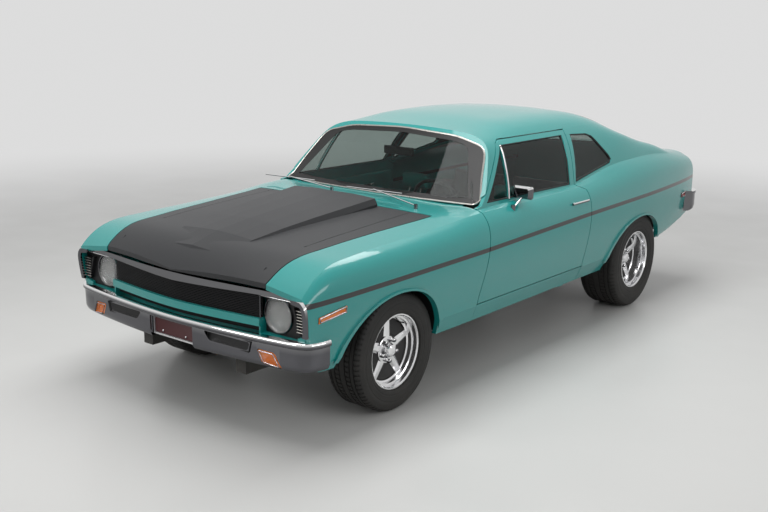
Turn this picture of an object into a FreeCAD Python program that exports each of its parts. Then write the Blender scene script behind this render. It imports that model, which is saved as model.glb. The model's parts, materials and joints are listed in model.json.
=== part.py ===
import FreeCAD, Part
import math
import os

from FreeCAD import Placement, Rotation, Vector

# Two-door muscle car, millimetres.
# +Z is up, -Y is the front, +X is the car's left side. The origin is on the ground,
# in the middle of the length.

doc = FreeCAD.newDocument("muscle_car")
sheet = doc.addObject("Spreadsheet::Sheet", "Sizes")

SIZES = (
    # whole car
    ("overall_length", 4811.0),
    ("overall_width", 1839.0),
    ("overall_height", 1470.0),
    ("wheelbase", 2819.0),
    ("front_overhang", 880.0),
    ("overrun", 400.0),
    # panels
    ("panel_thickness", 24.0),
    ("roof_thickness", 28.0),
    ("frame_thickness", 22.0),
    ("panel_gap", 6.0),
    ("frame_gap", 9.0),
    ("seat_gap", 0.3),
    ("glass_thickness", 5.0),
    ("glass_depth", 8.0),
    # front wheels and tyres
    ("front_tyre_radius", 332.0),
    ("front_tyre_width", 238.0),
    ("front_half_track", 721.0),
    ("rim_radius", 209.0),
    ("front_rim_width", 204.0),
    ("front_rim_depth", 58.0),
    # rear wheels and tyres
    ("rear_tyre_radius", 353.0),
    ("rear_tyre_width", 292.0),
    ("rear_half_track", 730.0),
    ("rear_rim_width", 268.0),
    ("rear_rim_depth", 95.0),
    ("rim_wall", 7.0),
    ("hub_radius", 62.0),
    ("hub_bore", 28.3),
    ("cap_radius", 39.0),
    ("cap_height", 41.0),
    ("spoke_count", 5.0),
    ("spoke_width", 62.0),
    ("spoke_end_width", 42.0),
    ("spoke_thickness", 16.0),
    ("lug_radius", 10.0),
    ("lug_circle", 60.325),
    ("lug_height", 22.0),
    ("axle_stub_radius", 28.0),
    # wheel openings
    ("front_opening_length", 890.0),
    ("front_opening_top", 694.0),
    ("rear_opening_length", 880.0),
    ("rear_opening_top", 690.0),
    ("lip_width", 30.0),
    ("lip_proud", 11.0),
    # steering and hinges
    ("kingpin_inset", 68.0),
    ("kingpin_radius", 24.0),
    ("arm_width", 80.0),
    ("disc_radius", 140.0),
    ("disc_offset", 42.0),
    ("disc_thickness", 18.0),
    ("steering_wheel_radius", 195.0),
    ("steering_rim_radius", 11.0),
    ("steering_hub_depth", 35.0),
    ("column_radius", 20.0),
    ("column_length", 330.0),
    # lamps and bumpers
    ("headlamp_radius", 89.0),
    ("headlamp_height", 669.0),
    ("headlamp_out", 662.0),
    # hood
    ("scoop_wall", 14.0),
    ("groove_width", 9.0),
    ("groove_depth", 4.0),
    ("vent_count", 14.0),
    # fascia
    ("lamp_ring_width", 7.0),
    ("lamp_ring_depth", 12.0),
    ("bowl_depth", 58.0),
    ("lens_bulge", 22.0),
    ("lens_wall", 4.0),
    ("bezel_thickness", 10.0),
    ("louvre_count", 8.0),
    ("louvre_depth", 24.0),
    ("louvre_thickness", 4.0),
    ("header_depth", 30.0),
    ("bar_height", 40.0),
    ("slat_count", 14.0),
    ("slat_depth", 22.0),
    ("trim_width", 13.0),
    ("panel_plate", 8.0),
    # bumpers
    ("bumper_depth", 46.0),
    ("bumper_ledge", 26.0),
    ("bumper_setback", 10.0),
    ("bumper_edge", 8.0),
    ("lamp_pocket", 12.0),
    ("plate_width", 305.0),
    ("plate_height", 128.0),
    ("plate_thickness", 3.0),
    ("plate_frame", 9.0),
    ("plate_bolt_spacing", 178.0),
    ("plate_bolt_edge", 16.0),
    ("plate_bolt_radius", 3.5),
    ("lens_proud", 6.0),
    # trim and small parts
    ("moulding_width", 18.0),
    ("moulding_depth", 7.0),
    ("wiper_radius", 4.0),
    ("wiper_pivot_radius", 11.0),
    ("wiper_pivot_height", 26.0),
    ("handle_radius", 8.0),
    ("lock_radius", 12.0),
    ("mirror_depth", 34.0),
    ("mirror_stalk_radius", 6.0),
    ("jack_pad_length", 60.0),
    # drive line
    ("engine_length", 700.0),
    ("engine_width", 560.0),
    ("engine_height", 520.0),
    ("axle_tube_radius", 38.0),
    ("diff_radius", 130.0),
    ("shaft_radius", 35.0),
    ("pipe_radius", 30.0),
    ("muffler_radius", 64.0),
    ("hanger_thickness", 12.0),
    ("tank_chamfer", 30.0),
    ("spring_width", 62.0),
    ("spring_thickness", 12.0),
    ("spring_perch", 55.0),
    ("shackle_length", 45.0),
    ("stub_clearance", 1.0),
    # cabin
    ("floor_thickness", 14.0),
    ("floor_height", 335.0),
    ("seat_width", 450.0),
    ("seat_depth", 520.0),
    ("cushion_height", 150.0),
    ("back_height", 520.0),
    ("back_thickness", 130.0),
)

for row, (alias, value) in enumerate(SIZES, start=1):
    sheet.set("A%d" % row, alias)
    sheet.set("B%d" % row, str(value))
    sheet.setAlias("B%d" % row, alias)
doc.recompute()


def size(alias):
    """Read one driving size from the sheet."""
    return float(sheet.get(alias))


half_length = size("overall_length") / 2
half_width = size("overall_width") / 2
tall = size("overall_height")
front_axle = -half_length + size("front_overhang")
rear_axle = front_axle + size("wheelbase")
overrun = size("overrun")
skin = size("panel_thickness")
gap = size("panel_gap")
seat = size("seat_gap")
finished = {}


def along(share):
    return share * half_length


def across(share):
    return share * half_width


def up(share):
    return share * tall


def keep(name, shape):
    """Store a finished shape as a document object of its own."""
    feature = doc.addObject("Part::Feature", name)
    feature.Label = name
    feature.Shape = shape
    finished[name] = feature
    return feature


def bound(kind, name, placement, **bindings):
    """Add a feature whose sizes are bound to the sheet by expressions."""
    feature = doc.addObject(kind, name)
    feature.Placement = placement
    for key, expression in bindings.items():
        feature.setExpression(key, expression)
    return feature


def joined(shapes):
    """Fuse a list of solids and merge the faces that lie in one surface."""
    whole = shapes[0]
    if len(shapes) > 1:
        whole = whole.fuse(shapes[1:])
    return whole.removeSplitter()


def mirrored(shape):
    return shape.mirror(Vector(0, 0, 0), Vector(1, 0, 0))


def compound(shapes):
    return Part.makeCompound(shapes)


def full(half):
    """A closed outline over both sides from its half, which starts and ends at X = 0."""
    return list(half) + [(-x, y) for x, y in reversed(half) if x > 0]


def both(shape):
    """A piece and its mirror image as separate solids of one node."""
    return compound([shape, mirrored(shape)])


def prism(points, direction):
    """A straight prism on a closed outline of points."""
    wire = Part.makePolygon(list(points) + [points[0]])
    return Part.Face(wire).extrude(direction)


def side_prism(outline, low=0.0, high=None):
    """A prism along X on a side-view outline of (Y, Z) pairs."""
    high = half_width + overrun if high is None else high
    points = [Vector(low, y, z) for y, z in outline]
    return prism(points, Vector(high - low, 0, 0))


def plan_prism(outline, low=0.0, high=None):
    """A prism along Z on a plan outline of (X, Y) pairs."""
    high = tall + overrun if high is None else high
    points = [Vector(x, y, low) for x, y in outline]
    return prism(points, Vector(0, 0, high - low))


def front_prism(outline, low, high):
    """A prism along Y on a front-view outline of (X, Z) pairs."""
    points = [Vector(x, low, z) for x, z in outline]
    return prism(points, Vector(0, high - low, 0))


def box(low, high):
    """A box between two corners."""
    return Part.makeBox(high[0] - low[0], high[1] - low[1], high[2] - low[2], Vector(*low))


def rod(start, end, radius):
    """A round bar between two points."""
    start = Vector(*start)
    run = Vector(*end).sub(start)
    return Part.makeCylinder(radius, run.Length, start, run)


def curve(points):
    """A smooth curve through points."""
    line = Part.BSplineCurve()
    line.interpolate(points)
    return line.toShape()


def line(first, last):
    return Part.makeLine(first, last)


# Body sections. Each row is one section across the car: its place along the length,
# then (across, up) pairs from the rocker's underside to the crest of the side, then the
# edge of the hood or deck and the height on the centre line. All are shares of the
# half length, half width and height.
body_shares = (
    (-1.031, (0.76, 0.269), (0.80, 0.299), (0.826, 0.354), (0.832, 0.381), (0.821, 0.408),
     (0.80, 0.422), (0.61, 0.427), 0.428),
    (-0.971, (0.883, 0.269), (0.916, 0.299), (0.942, 0.381), (0.951, 0.449), (0.944, 0.486),
     (0.919, 0.505), (0.663, 0.507), 0.511),
    (-0.947, (0.89, 0.265), (0.924, 0.299), (0.953, 0.408), (0.966, 0.500), (0.957, 0.529),
     (0.924, 0.545), (0.674, 0.540), 0.546),
    (-0.910, (0.896, 0.262), (0.929, 0.299), (0.959, 0.408), (0.976, 0.510), (0.968, 0.558),
     (0.919, 0.595), (0.685, 0.597), 0.602),
    (-0.877, (0.90, 0.259), (0.931, 0.299), (0.964, 0.408), (0.980, 0.514), (0.968, 0.575),
     (0.908, 0.617), (0.696, 0.622), 0.629),
    (-0.790, (0.905, 0.253), (0.933, 0.301), (0.967, 0.408), (0.986, 0.520), (0.970, 0.585),
     (0.892, 0.631), (0.705, 0.639), 0.650),
    (-0.634, (0.907, 0.245), (0.935, 0.301), (0.968, 0.408), (0.991, 0.527), (0.971, 0.593),
     (0.883, 0.641), (0.720, 0.655), 0.673),
    (-0.478, (0.905, 0.238), (0.936, 0.301), (0.968, 0.408), (0.992, 0.532), (0.971, 0.602),
     (0.886, 0.652), (0.740, 0.668), 0.687),
    (-0.316, (0.898, 0.235), (0.937, 0.301), (0.970, 0.408), (0.994, 0.537), (0.971, 0.616),
     (0.903, 0.670), (0.843, 0.680), 0.690),
    (-0.125, (0.894, 0.235), (0.937, 0.301), (0.971, 0.408), (0.994, 0.542), (0.974, 0.619),
     (0.911, 0.672), (0.865, 0.682), 0.687),
    (0.166, (0.892, 0.237), (0.937, 0.303), (0.971, 0.408), (0.994, 0.552), (0.974, 0.626),
     (0.911, 0.677), (0.867, 0.686), 0.687),
    (0.374, (0.892, 0.239), (0.937, 0.306), (0.971, 0.408), (0.993, 0.561), (0.973, 0.636),
     (0.897, 0.704), (0.843, 0.728), 0.735),
    (0.538, (0.894, 0.248), (0.935, 0.313), (0.968, 0.415), (0.991, 0.568), (0.970, 0.650),
     (0.881, 0.731), (0.810, 0.756), 0.765),
    (0.686, (0.896, 0.272), (0.930, 0.327), (0.961, 0.422), (0.979, 0.573), (0.957, 0.660),
     (0.865, 0.735), (0.794, 0.761), 0.776),
    (0.831, (0.886, 0.306), (0.919, 0.354), (0.946, 0.435), (0.955, 0.578), (0.935, 0.656),
     (0.854, 0.718), (0.778, 0.741), 0.755),
    (0.935, (0.87, 0.333), (0.90, 0.374), (0.919, 0.449), (0.924, 0.582), (0.908, 0.646),
     (0.832, 0.697), (0.761, 0.714), 0.724),
    (0.989, (0.859, 0.340), (0.886, 0.381), (0.90, 0.456), (0.905, 0.584), (0.886, 0.639),
     (0.81, 0.680), (0.745, 0.694), 0.702),
    (1.031, (0.843, 0.347), (0.870, 0.388), (0.881, 0.463), (0.883, 0.585), (0.865, 0.633),
     (0.783, 0.667), (0.723, 0.679), 0.686),
)
# How far the nose's middle stands ahead of its corners, by place along.
nose_bow_shares = ((-1.031, 0.0), (-0.971, 0.036), (-0.910, 0.034), (-0.790, 0.018),
                   (-0.634, 0.0), (1.031, 0.0))

# Greenhouse sections: place along, then base, two points up the glass, drip rail,
# roof shoulder, roof and centre height.
cabin_shares = (
    (-0.416, (0.870, 0.653), (0.837, 0.735), (0.767, 0.827), (0.696, 0.901), (0.625, 0.917),
     (0.435, 0.931), 0.935),
    (-0.166, (0.870, 0.670), (0.835, 0.741), (0.767, 0.833), (0.680, 0.910), (0.609, 0.932),
     (0.435, 0.951), 0.961),
    (0.0, (0.870, 0.678), (0.832, 0.745), (0.764, 0.837), (0.674, 0.916), (0.604, 0.949),
     (0.424, 0.980), 0.990),
    (0.166, (0.870, 0.682), (0.832, 0.748), (0.764, 0.840), (0.674, 0.918), (0.604, 0.954),
     (0.424, 0.987), 0.999),
    (0.333, (0.865, 0.687), (0.827, 0.755), (0.761, 0.840), (0.680, 0.912), (0.609, 0.948),
     (0.430, 0.980), 0.990),
    (0.436, (0.870, 0.701), (0.832, 0.762), (0.772, 0.837), (0.701, 0.895), (0.625, 0.929),
     (0.435, 0.961), 0.969),
    (0.540, (0.875, 0.711), (0.840, 0.759), (0.794, 0.813), (0.734, 0.859), (0.647, 0.878),
     (0.435, 0.890), 0.892),
    (0.665, (0.875, 0.711), (0.848, 0.745), (0.816, 0.779), (0.761, 0.807), (0.663, 0.798),
     (0.435, 0.783), 0.777),
    (0.790, (0.870, 0.701), (0.854, 0.721), (0.827, 0.745), (0.778, 0.759), (0.674, 0.745),
     (0.435, 0.721), 0.714),
    (0.873, (0.865, 0.680), (0.850, 0.694), (0.829, 0.711), (0.778, 0.721), (0.674, 0.701),
     (0.435, 0.670), 0.660),
)


def inset(points, depth):
    """Move an open row of (X, Z) points to the inside of the section by depth."""
    moved = []
    last = len(points) - 1
    for index, (x, z) in enumerate(points):
        before = points[max(index - 1, 0)]
        after = points[min(index + 1, last)]
        run_x = after[0] - before[0]
        run_z = after[1] - before[1]
        length = math.hypot(run_x, run_z)
        moved.append((x - depth * run_z / length, z + depth * run_x / length))
    return moved


def slopes(places, values):
    """Slopes of a smooth line through points that never overshoots them."""
    last = len(places) - 1
    rises = [(values[i + 1] - values[i]) / (places[i + 1] - places[i]) for i in range(last)]
    found = [rises[0]]
    for before, after in zip(rises[:-1], rises[1:]):
        same_way = before * after > 0
        found.append(2 * before * after / (before + after) if same_way else 0.0)
    return found + [rises[-1]]


def smooth_at(places, values, place):
    """Value at a place on the smooth line through points."""
    last = len(places) - 2
    index = max(i for i in range(last + 1) if i == 0 or places[i] <= place)
    steps = slopes(places, values)
    run = places[index + 1] - places[index]
    share = (place - places[index]) / run
    return (values[index] * (1 + 2 * share) * (1 - share) ** 2
            + steps[index] * run * share * (1 - share) ** 2
            + values[index + 1] * share ** 2 * (3 - 2 * share)
            + steps[index + 1] * run * share ** 2 * (share - 1))


crown_shares = (0.78, 0.52, 0.26)


def section_at(rows, share):
    """(X, Z) points of the section at one place along, the centre last."""
    places = [row[0] for row in rows]
    pairs = []
    for column in range(1, len(rows[0]) - 1):
        x = smooth_at(places, [row[column][0] for row in rows], share)
        z = smooth_at(places, [row[column][1] for row in rows], share)
        pairs.append((across(x), up(z)))
    centre = up(smooth_at(places, [row[-1] for row in rows], share))
    edge_x, edge_z = pairs[-1]
    for crown in crown_shares:
        pairs.append((edge_x * crown, edge_z + (centre - edge_z) * (1 - crown ** 2)))
    pairs.append((0.0, centre))
    return pairs


def lofted(rows, count, corners, depth, floor, crowding, bows=None):
    """Half of a closed body through its sections, shrunk by depth.

    corners are the places in the row where the outline has an edge; crowding moves the
    sections towards the front.
    """
    wires = []
    first_share, last_share = rows[0][0], rows[-1][0]
    for step in range(count):
        run = step / (count - 1)
        run = run * (1 - crowding) + crowding * run ** 2
        share = first_share + (last_share - first_share) * run
        pairs = section_at(rows, share)
        if depth:
            pairs = inset(pairs, depth)
            pairs[-1] = (0.0, pairs[-1][1])
        bow = 0.0
        if bows:
            bow = along(smooth_at([p for p, v in bows], [v for p, v in bows], share))
        reach = max(x for x, z in pairs)
        points = [Vector(x, along(share) - bow * (1 - (x / reach) ** 2), z)
                  for x, z in pairs]
        base = floor if floor is not None else pairs[0][1]
        under = [Vector(0, points[-1].y, base), Vector(points[0].x, points[0].y, base)]
        edges = [line(under[0], under[1])]
        if floor is not None:
            edges.append(line(under[1], points[0]))
        for first, last in zip(corners[:-1], corners[1:]):
            piece = points[first:last + 1]
            edges.append(line(*piece) if len(piece) == 2 else curve(piece))
        edges.append(line(points[-1], under[0]))
        wires.append(Part.Wire(edges))
    return Part.makeLoft(wires, True, False)


body_corners = (0, 1, 5, 10)
cabin_corners = (0, 9)
body_stations = 25
cabin_stations = 14
body_crowding = 0.40


def body_half(depth):
    return lofted(body_shares, body_stations, body_corners, depth, None, body_crowding,
                  nose_bow_shares)


def cabin_half(depth):
    low = up(0.60) if depth else up(0.64)
    return lofted(cabin_shares, cabin_stations, cabin_corners, depth, low, 0.0)


body_out = body_half(0.0)
body_in = body_half(skin)
cabin_out = cabin_half(0.0)
cabin_in = cabin_half(size("roof_thickness"))
cabin_frame_in = cabin_half(size("frame_thickness"))
cabin_shell = cabin_out.cut(cabin_in)
cabin_frame = cabin_out.cut(cabin_frame_in)



def skin_of(region):
    """The part of the body's skin that lies in a region."""
    return body_out.common(region).cut(body_in)


# Named lines of the body, all from the driving sizes.
door_front = along(-0.3065)
door_rear = along(0.1955)
door_low = up(0.309)
belt = up(0.682)
drip = up(0.918)
inner_side = across(0.84)
cabin_side = across(0.812)
hood_rear = along(-0.432)
nose = along(-0.985)
deck_front = along(0.707)
axle_front_height = size("front_tyre_radius")
axle_rear_height = size("rear_tyre_radius")
far = half_width + overrun


def shifted(outline, step):
    """Grow (step > 0) or shrink a closed outline of convex corners about its middle."""
    wire = Part.makePolygon([Vector(a, b, 0) for a, b in list(outline) + [outline[0]]])
    grown = wire.makeOffset2D(step, 2, False, False, True)
    return [(vertex.X, vertex.Y) for vertex in grown.OrderedVertexes]


# Outline of the door in side view, from the foot of its front edge, clockwise.
door_outline = (
    (along(-0.334), door_low), (door_front, belt), (along(-0.285), up(0.688)),
    (along(-0.131), up(0.905)), (along(-0.108), drip), (along(0.226), drip),
    (along(0.172), belt), (door_rear, up(0.665)), (along(0.193), door_low),
)
door_glass_outline = (
    (along(-0.262), up(0.694)), (along(-0.119), up(0.899)), (along(0.201), up(0.899)),
    (along(0.152), up(0.690)),
)
quarter_glass_outline = (
    (along(0.186), up(0.694)), (along(0.247), up(0.897)), (along(0.335), up(0.889)),
    (along(0.362), up(0.875)), (along(0.412), up(0.780)), (along(0.418), up(0.760)),
    (along(0.405), up(0.744)),
)
door_solid = side_prism(door_outline)
door_hole = side_prism(shifted(door_outline, gap))

# Wheel openings in side view, as shares of their own length and height above the axle.
opening_shares = (
    (-0.500, -0.10), (-0.476, 0.20), (-0.400, 0.55), (-0.250, 0.85), (-0.05, 0.99),
    (0.15, 0.96), (0.330, 0.76), (0.450, 0.42), (0.490, 0.10), (0.497, -0.10),
)


def opening_edges(x, centre, axle_height, length, top, grow):
    """Edges of one wheel opening's outline at a place across the car."""
    rise = top - axle_height
    points = [Vector(x, centre + share_y * (length + 2 * grow),
                     axle_height + share_z * rise + (grow if share_z > 0 else 0.0))
              for share_y, share_z in opening_shares]
    low_rear = Vector(x, points[-1].y, 0)
    low_front = Vector(x, points[0].y, 0)
    return [curve(points), line(points[-1], low_rear), line(low_rear, low_front),
            line(low_front, points[0])]


def opening_prism(centre, axle_height, length, top):
    """The cutter of one wheel opening."""
    edges = opening_edges(0.0, centre, axle_height, length, top, 0.0)
    return Part.Face(Part.Wire(edges)).extrude(Vector(far, 0, 0))


front_centre = front_axle - size("front_opening_length") * 0.097
rear_centre = rear_axle - size("rear_opening_length") * 0.03
front_opening = opening_prism(front_centre, axle_front_height,
                              size("front_opening_length"), size("front_opening_top"))
rear_opening = opening_prism(rear_centre, axle_rear_height,
                             size("rear_opening_length"), size("rear_opening_top"))

# Front of the car
hood_edge = ((0.0, nose), (across(0.668), along(-0.957)), (across(0.674), along(-0.947)),
             (across(0.690), along(-0.877)), (across(0.713), along(-0.634)),
             (across(0.735), along(-0.50)), (across(0.745), hood_rear))
hood_plan = full(list(hood_edge) + [(0.0, along(-0.463))])
hood_solid = plan_prism(shifted(hood_plan, -gap / 2), up(0.50))
hood_hole = plan_prism(shifted(hood_plan, gap / 2), up(0.50))
middle_half = box((0, -half_length - overrun, 0), (far, half_length + overrun, tall + overrun))

cowl_plan = full([(0.0, along(-0.463) + gap), (across(0.745), hood_rear + gap),
                  (across(0.745), along(-0.30)), (0.0, along(-0.30))])
fender_outline = (
    (along(-0.893), up(0.258)), (along(-0.938), up(0.36)), (along(-0.949), up(0.42)),
    (along(-0.957), up(0.53)),
    (along(-0.957), up(0.70)), (door_front - gap, up(0.70)), (door_front - gap, belt),
    (along(-0.334) - gap, door_low), (along(-0.334) - gap, up(0.20)),
    (along(-0.87), up(0.20)),
)
lip_taper_share = 0.35
settling_steps = 5
top_start = 5
body_grown = body_half(-seat)
body_lip = body_half(-size("lip_proud"))


def arch_lip(wires):
    """The raised lip round a wheel opening: a sloped ring that stands proud of the side."""
    ring = Part.makeLoft([Part.Wire(edges) for edges in wires], True, True)
    return ring.common(body_lip)


def lip_wires(centre, axle_height, length, top):
    """Outlines of the lip, wide at the skin and narrow at its crest."""
    low_side, high_side = across(0.93), across(1.0)
    return [opening_edges(low_side, centre, axle_height, length, top, size("lip_width")),
            opening_edges(high_side, centre, axle_height, length, top,
                          size("lip_width") * lip_taper_share)]


front_lip = arch_lip(lip_wires(front_centre, axle_front_height, size("front_opening_length"),
                               size("front_opening_top")))
fender = skin_of(side_prism(fender_outline))
fender = fender.fuse(front_lip.cut(body_in).common(side_prism(fender_outline)))
fender = fender.cut([hood_hole, plan_prism(cowl_plan, up(0.50)),
                     box((0, -half_length, 0), (across(0.64), half_length, tall)),
                     box((0, -half_length, 0), (across(0.86), half_length, up(0.42))),
                     box((0, along(-0.463), up(0.60)), (across(0.745), half_length, tall)),
                     front_opening])
keep("fender_left", fender)
keep("fender_right", mirrored(fender))


def body_height(x, y):
    """Height of the body's upper surface above a place in plan."""
    share = y / half_length
    pairs = section_at(body_shares, share)
    for step in range(settling_steps):
        bow = along(smooth_at([p for p, v in nose_bow_shares],
                              [v for p, v in nose_bow_shares], share))
        reach = max(place[0] for place in pairs)
        share = (y + bow * (1 - (x / reach) ** 2)) / half_length
        pairs = section_at(body_shares, share)
    top = pairs[top_start:]
    for (x_out, z_out), (x_in, z_in) in zip(top[:-1], top[1:]):
        if x <= x_out and x >= x_in:
            return z_in + (z_out - z_in) * (x - x_in) / (x_out - x_in)
    return top[0][1]


# The raised scoop: place along, foot, top edge, height of the edge and of the middle.
scoop_shares = (
    (-0.950, 0.255, 0.250, 0.560, 0.575), (-0.925, 0.283, 0.273, 0.605, 0.622),
    (-0.850, 0.300, 0.288, 0.6455, 0.6555), (-0.750, 0.318, 0.302, 0.668, 0.677),
    (-0.650, 0.336, 0.318, 0.686, 0.694), (-0.550, 0.353, 0.334, 0.702, 0.710),
    (-0.458, 0.368, 0.348, 0.7165, 0.7245),
)
scoop_base = 0.50


def scoop_wire(row, sink, run=0.0):
    """One section of the scoop's left half, moved in by sink and back by run."""
    share_y, foot, top, edge, middle = row
    y = along(share_y) + run
    outer = across(foot) - sink
    inner = across(top) - sink
    crest = up(middle) - sink
    knee = up((edge + middle * 2) / 3) - sink
    past = -inner / 4
    corners = [Vector(past, y, up(scoop_base)), Vector(outer, y, up(scoop_base)),
               Vector(outer, y, up(edge) - sink - up(0.022)), Vector(inner, y, up(edge) - sink),
               Vector(inner / 2, y, knee), Vector(0, y, crest),
               Vector(past, y, crest - (crest - knee) / 2)]
    return Part.makePolygon(corners + [corners[0]])


wall = size("scoop_wall")
scoop = Part.makeLoft([scoop_wire(row, 0.0) for row in scoop_shares], True, True)
scoop_core = Part.makeLoft([scoop_wire(scoop_shares[0], wall, wall)]
                           + [scoop_wire(row, wall) for row in scoop_shares[1:-1]]
                           + [scoop_wire(scoop_shares[-1], wall, wall)], True, True)
hood_half = skin_of(hood_solid).common(
    box((0, -half_length, up(0.545)), (far, half_length, tall)))
scoop_rise = scoop.cut(scoop_core).cut(body_in).common(hood_solid).common(middle_half)
hood_half = hood_half.fuse(scoop_rise)
groove_shares = ((-0.935, 0.595), (-0.80, 0.598), (-0.65, 0.600), (-0.52, 0.600), (-0.43, 0.597))
groove_wires = []
for share_y, share_x in groove_shares:
    x, y = across(share_x), along(share_y)
    z = body_height(x, y)
    wide = size("groove_width") / 2
    groove_wires.append(Part.makePolygon([
        Vector(x, y, z - size("groove_depth")), Vector(x + wide, y, z + wide),
        Vector(x - wide, y, z + wide), Vector(x, y, z - size("groove_depth"))]))
groove = Part.makeLoft(groove_wires, True, True)
hood_half = hood_half.cut(groove)
hood = hood_half.fuse(mirrored(hood_half))
keep("hood", hood)

cowl_half = skin_of(plan_prism(shifted(cowl_plan, -seat), up(0.60)).common(middle_half))
vent = [plan_prism(((across(0.20 + 0.02 * k), along(-0.435)), (across(0.206 + 0.02 * k), along(-0.435)),
                    (across(0.206 + 0.02 * k), along(-0.405)), (across(0.20 + 0.02 * k), along(-0.405))),
                   up(0.60)) for k in range(int(size("vent_count")))]
cowl_half = cowl_half.cut(vent)
keep("cowl", cowl_half.fuse(mirrored(cowl_half)))

# Doors
glass_low = size("glass_depth")
door_window = side_prism(door_glass_outline)
quarter_window = side_prism(quarter_glass_outline)
vent_bar = ((along(-0.1685), up(0.665)), (along(-0.164), up(0.665)),
            (along(-0.113), up(0.91)), (along(-0.1175), up(0.91)))
lower_door = body_out.common(box((inner_side, -half_length, 0), (far, half_length, up(0.70))))
upper_door = cabin_frame.common(door_solid).common(box((0, -half_length, belt - skin),
                                                       (far, half_length, tall)))
door = lower_door.common(door_solid).fuse(upper_door.cut(
    door_window.cut(side_prism(vent_bar))))
door = door.cut(door_window.cut(side_prism(vent_bar)))
keep("door_left", door)
keep("door_right", mirrored(door))

pane_out = cabin_half(size("glass_depth"))
pane_in = cabin_half(size("glass_depth") + size("glass_thickness"))
pane = pane_out.cut(pane_in)
door_glass = pane.common(side_prism(shifted(door_glass_outline, -seat))).cut(
    side_prism(shifted(vent_bar, seat)))
keep("door_glass_left", door_glass)
keep("door_glass_right", mirrored(door_glass))

# Windshield surface: an arc in plan at its foot and at its head, leaning back.
foot_corner = Vector(across(0.826), along(-0.287), up(0.674))
head_corner = Vector(across(0.620), along(-0.169), up(0.920))
foot_bow = along(0.046)
head_bow = along(0.026)


def raked(step, corner_low, corner_high, bow_low, bow_high, forward):
    """Everything ahead of (or behind) a bowed, leaning glass surface moved by step."""
    wires = []
    for share in (-0.5, 1.6):
        corner = corner_low + (corner_high - corner_low) * share
        bow = bow_low + (bow_high - bow_low) * share
        reach = far
        drop = bow * (reach / corner.x) ** 2
        y = corner.y - bow + step
        left = Vector(reach, y + drop, corner.z)
        right = Vector(-reach, y + drop, corner.z)
        middle = Vector(0, y, corner.z)
        end = -half_length - overrun if forward else half_length + overrun
        edges = [Part.Arc(left, middle, right).toShape(),
                 line(right, Vector(-reach, end, corner.z)),
                 line(Vector(-reach, end, corner.z), Vector(reach, end, corner.z)),
                 line(Vector(reach, end, corner.z), left)]
        wires.append(Part.Wire(edges))
    return Part.makeLoft(wires, True, True)


ahead_of_glass = raked(0.0, foot_corner, head_corner, foot_bow, head_bow, True)
glass_back = raked(size("glass_thickness") * 1.6, foot_corner, head_corner, foot_bow,
                   head_bow, True)
windshield_slab = glass_back.cut(ahead_of_glass)
windshield_outline = (
    (0.0, up(0.683)), (across(0.80), up(0.683)), (across(0.585), up(0.915)),
    (across(0.45), up(0.932)), (0.0, up(0.947)),
)
windshield_hole = front_prism(windshield_outline, -half_length, along(0.0))
windshield_outline_grown = shifted(full(windshield_outline), size("moulding_width") * 0.45)
windshield_outline_shrunk = shifted(full(windshield_outline), -size("moulding_width") * 0.55)
roof_limit = box((0, -half_length, up(0.682)), (far, along(0.424), tall))
b_line = ((along(0.172) + size("frame_gap"), belt), (along(0.226) + size("frame_gap"), drip + gap),
          (along(0.395), drip + gap), (along(0.395), up(0.60)), (along(0.172), up(0.60)))
roof_half = cabin_shell.cut(ahead_of_glass).common(roof_limit)
roof_half = roof_half.cut(door_hole).cut(side_prism(b_line))
roof_half = roof_half.cut(box((across(0.56), along(0.395), 0), (far, half_length, tall)))
roof_half = roof_half.cut(windshield_hole)
roof = roof_half.fuse(mirrored(roof_half))
keep("roof", roof)

glass_limit = cabin_half(size("roof_thickness") + seat)
windshield = windshield_slab.common(windshield_hole).common(glass_limit).cut(body_grown)
windshield = joined([windshield, mirrored(windshield)])
keep("windshield", windshield)

# Quarters: side wall, sail and the pillar behind the door
back_window_plan = ((0.0, along(0.424)), (across(0.56), along(0.43)), (across(0.60), along(0.48)),
                    (across(0.66), along(0.655)), (0.0, along(0.672)))
back_window_hole = plan_prism(back_window_plan, up(0.70))
deck_plan = full([(0.0, deck_front), (across(0.74), deck_front),
                  (across(0.70), along(0.970)), (0.0, along(0.980))])
deck_solid = plan_prism(shifted(deck_plan, -gap / 2), up(0.62))
deck_hole = plan_prism(shifted(deck_plan, gap / 2), up(0.62))
quarter_outline = (
    (along(0.193) + gap, up(0.20)), (along(0.193) + gap, door_low), (door_rear + gap, up(0.665)),
    (along(0.172) + size("frame_gap"), belt), (along(0.226) + size("frame_gap"), drip + gap),
    (along(0.395), drip + gap), (along(0.395), tall), (along(0.99), tall),
    (along(0.965), up(0.40)), (along(0.80), up(0.33)), (along(0.62), up(0.29)),
)
quarter_region = side_prism(quarter_outline)
sail = cabin_shell.common(quarter_region)
sail = sail.cut(box((0, along(0.395), 0), (across(0.56), along(0.424), tall)))
sail = sail.cut(box((0, -half_length, 0), (across(0.56), along(0.50), tall)))
sail = sail.cut(back_window_hole).cut(box((0, along(0.64), 0), (across(0.74), half_length, tall)))
side_wall = skin_of(quarter_region)
side_wall = side_wall.cut(box((0, -half_length, up(0.60)), (cabin_side, deck_front, tall)))
side_wall = side_wall.cut(box((0, -half_length, 0), (across(0.80), half_length, up(0.62))))
side_wall = side_wall.cut(box((0, deck_front, 0), (across(0.70), half_length, tall)))
rear_lip = arch_lip(lip_wires(rear_centre, axle_rear_height, size("rear_opening_length"),
                              size("rear_opening_top")))
rear_lip = rear_lip.cut(body_in).common(quarter_region)
quarter = side_wall.fuse([sail.cut(body_in), rear_lip])
quarter = quarter.cut([deck_hole, quarter_window, rear_opening])
keep("quarter_left", quarter)
keep("quarter_right", mirrored(quarter))

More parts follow.
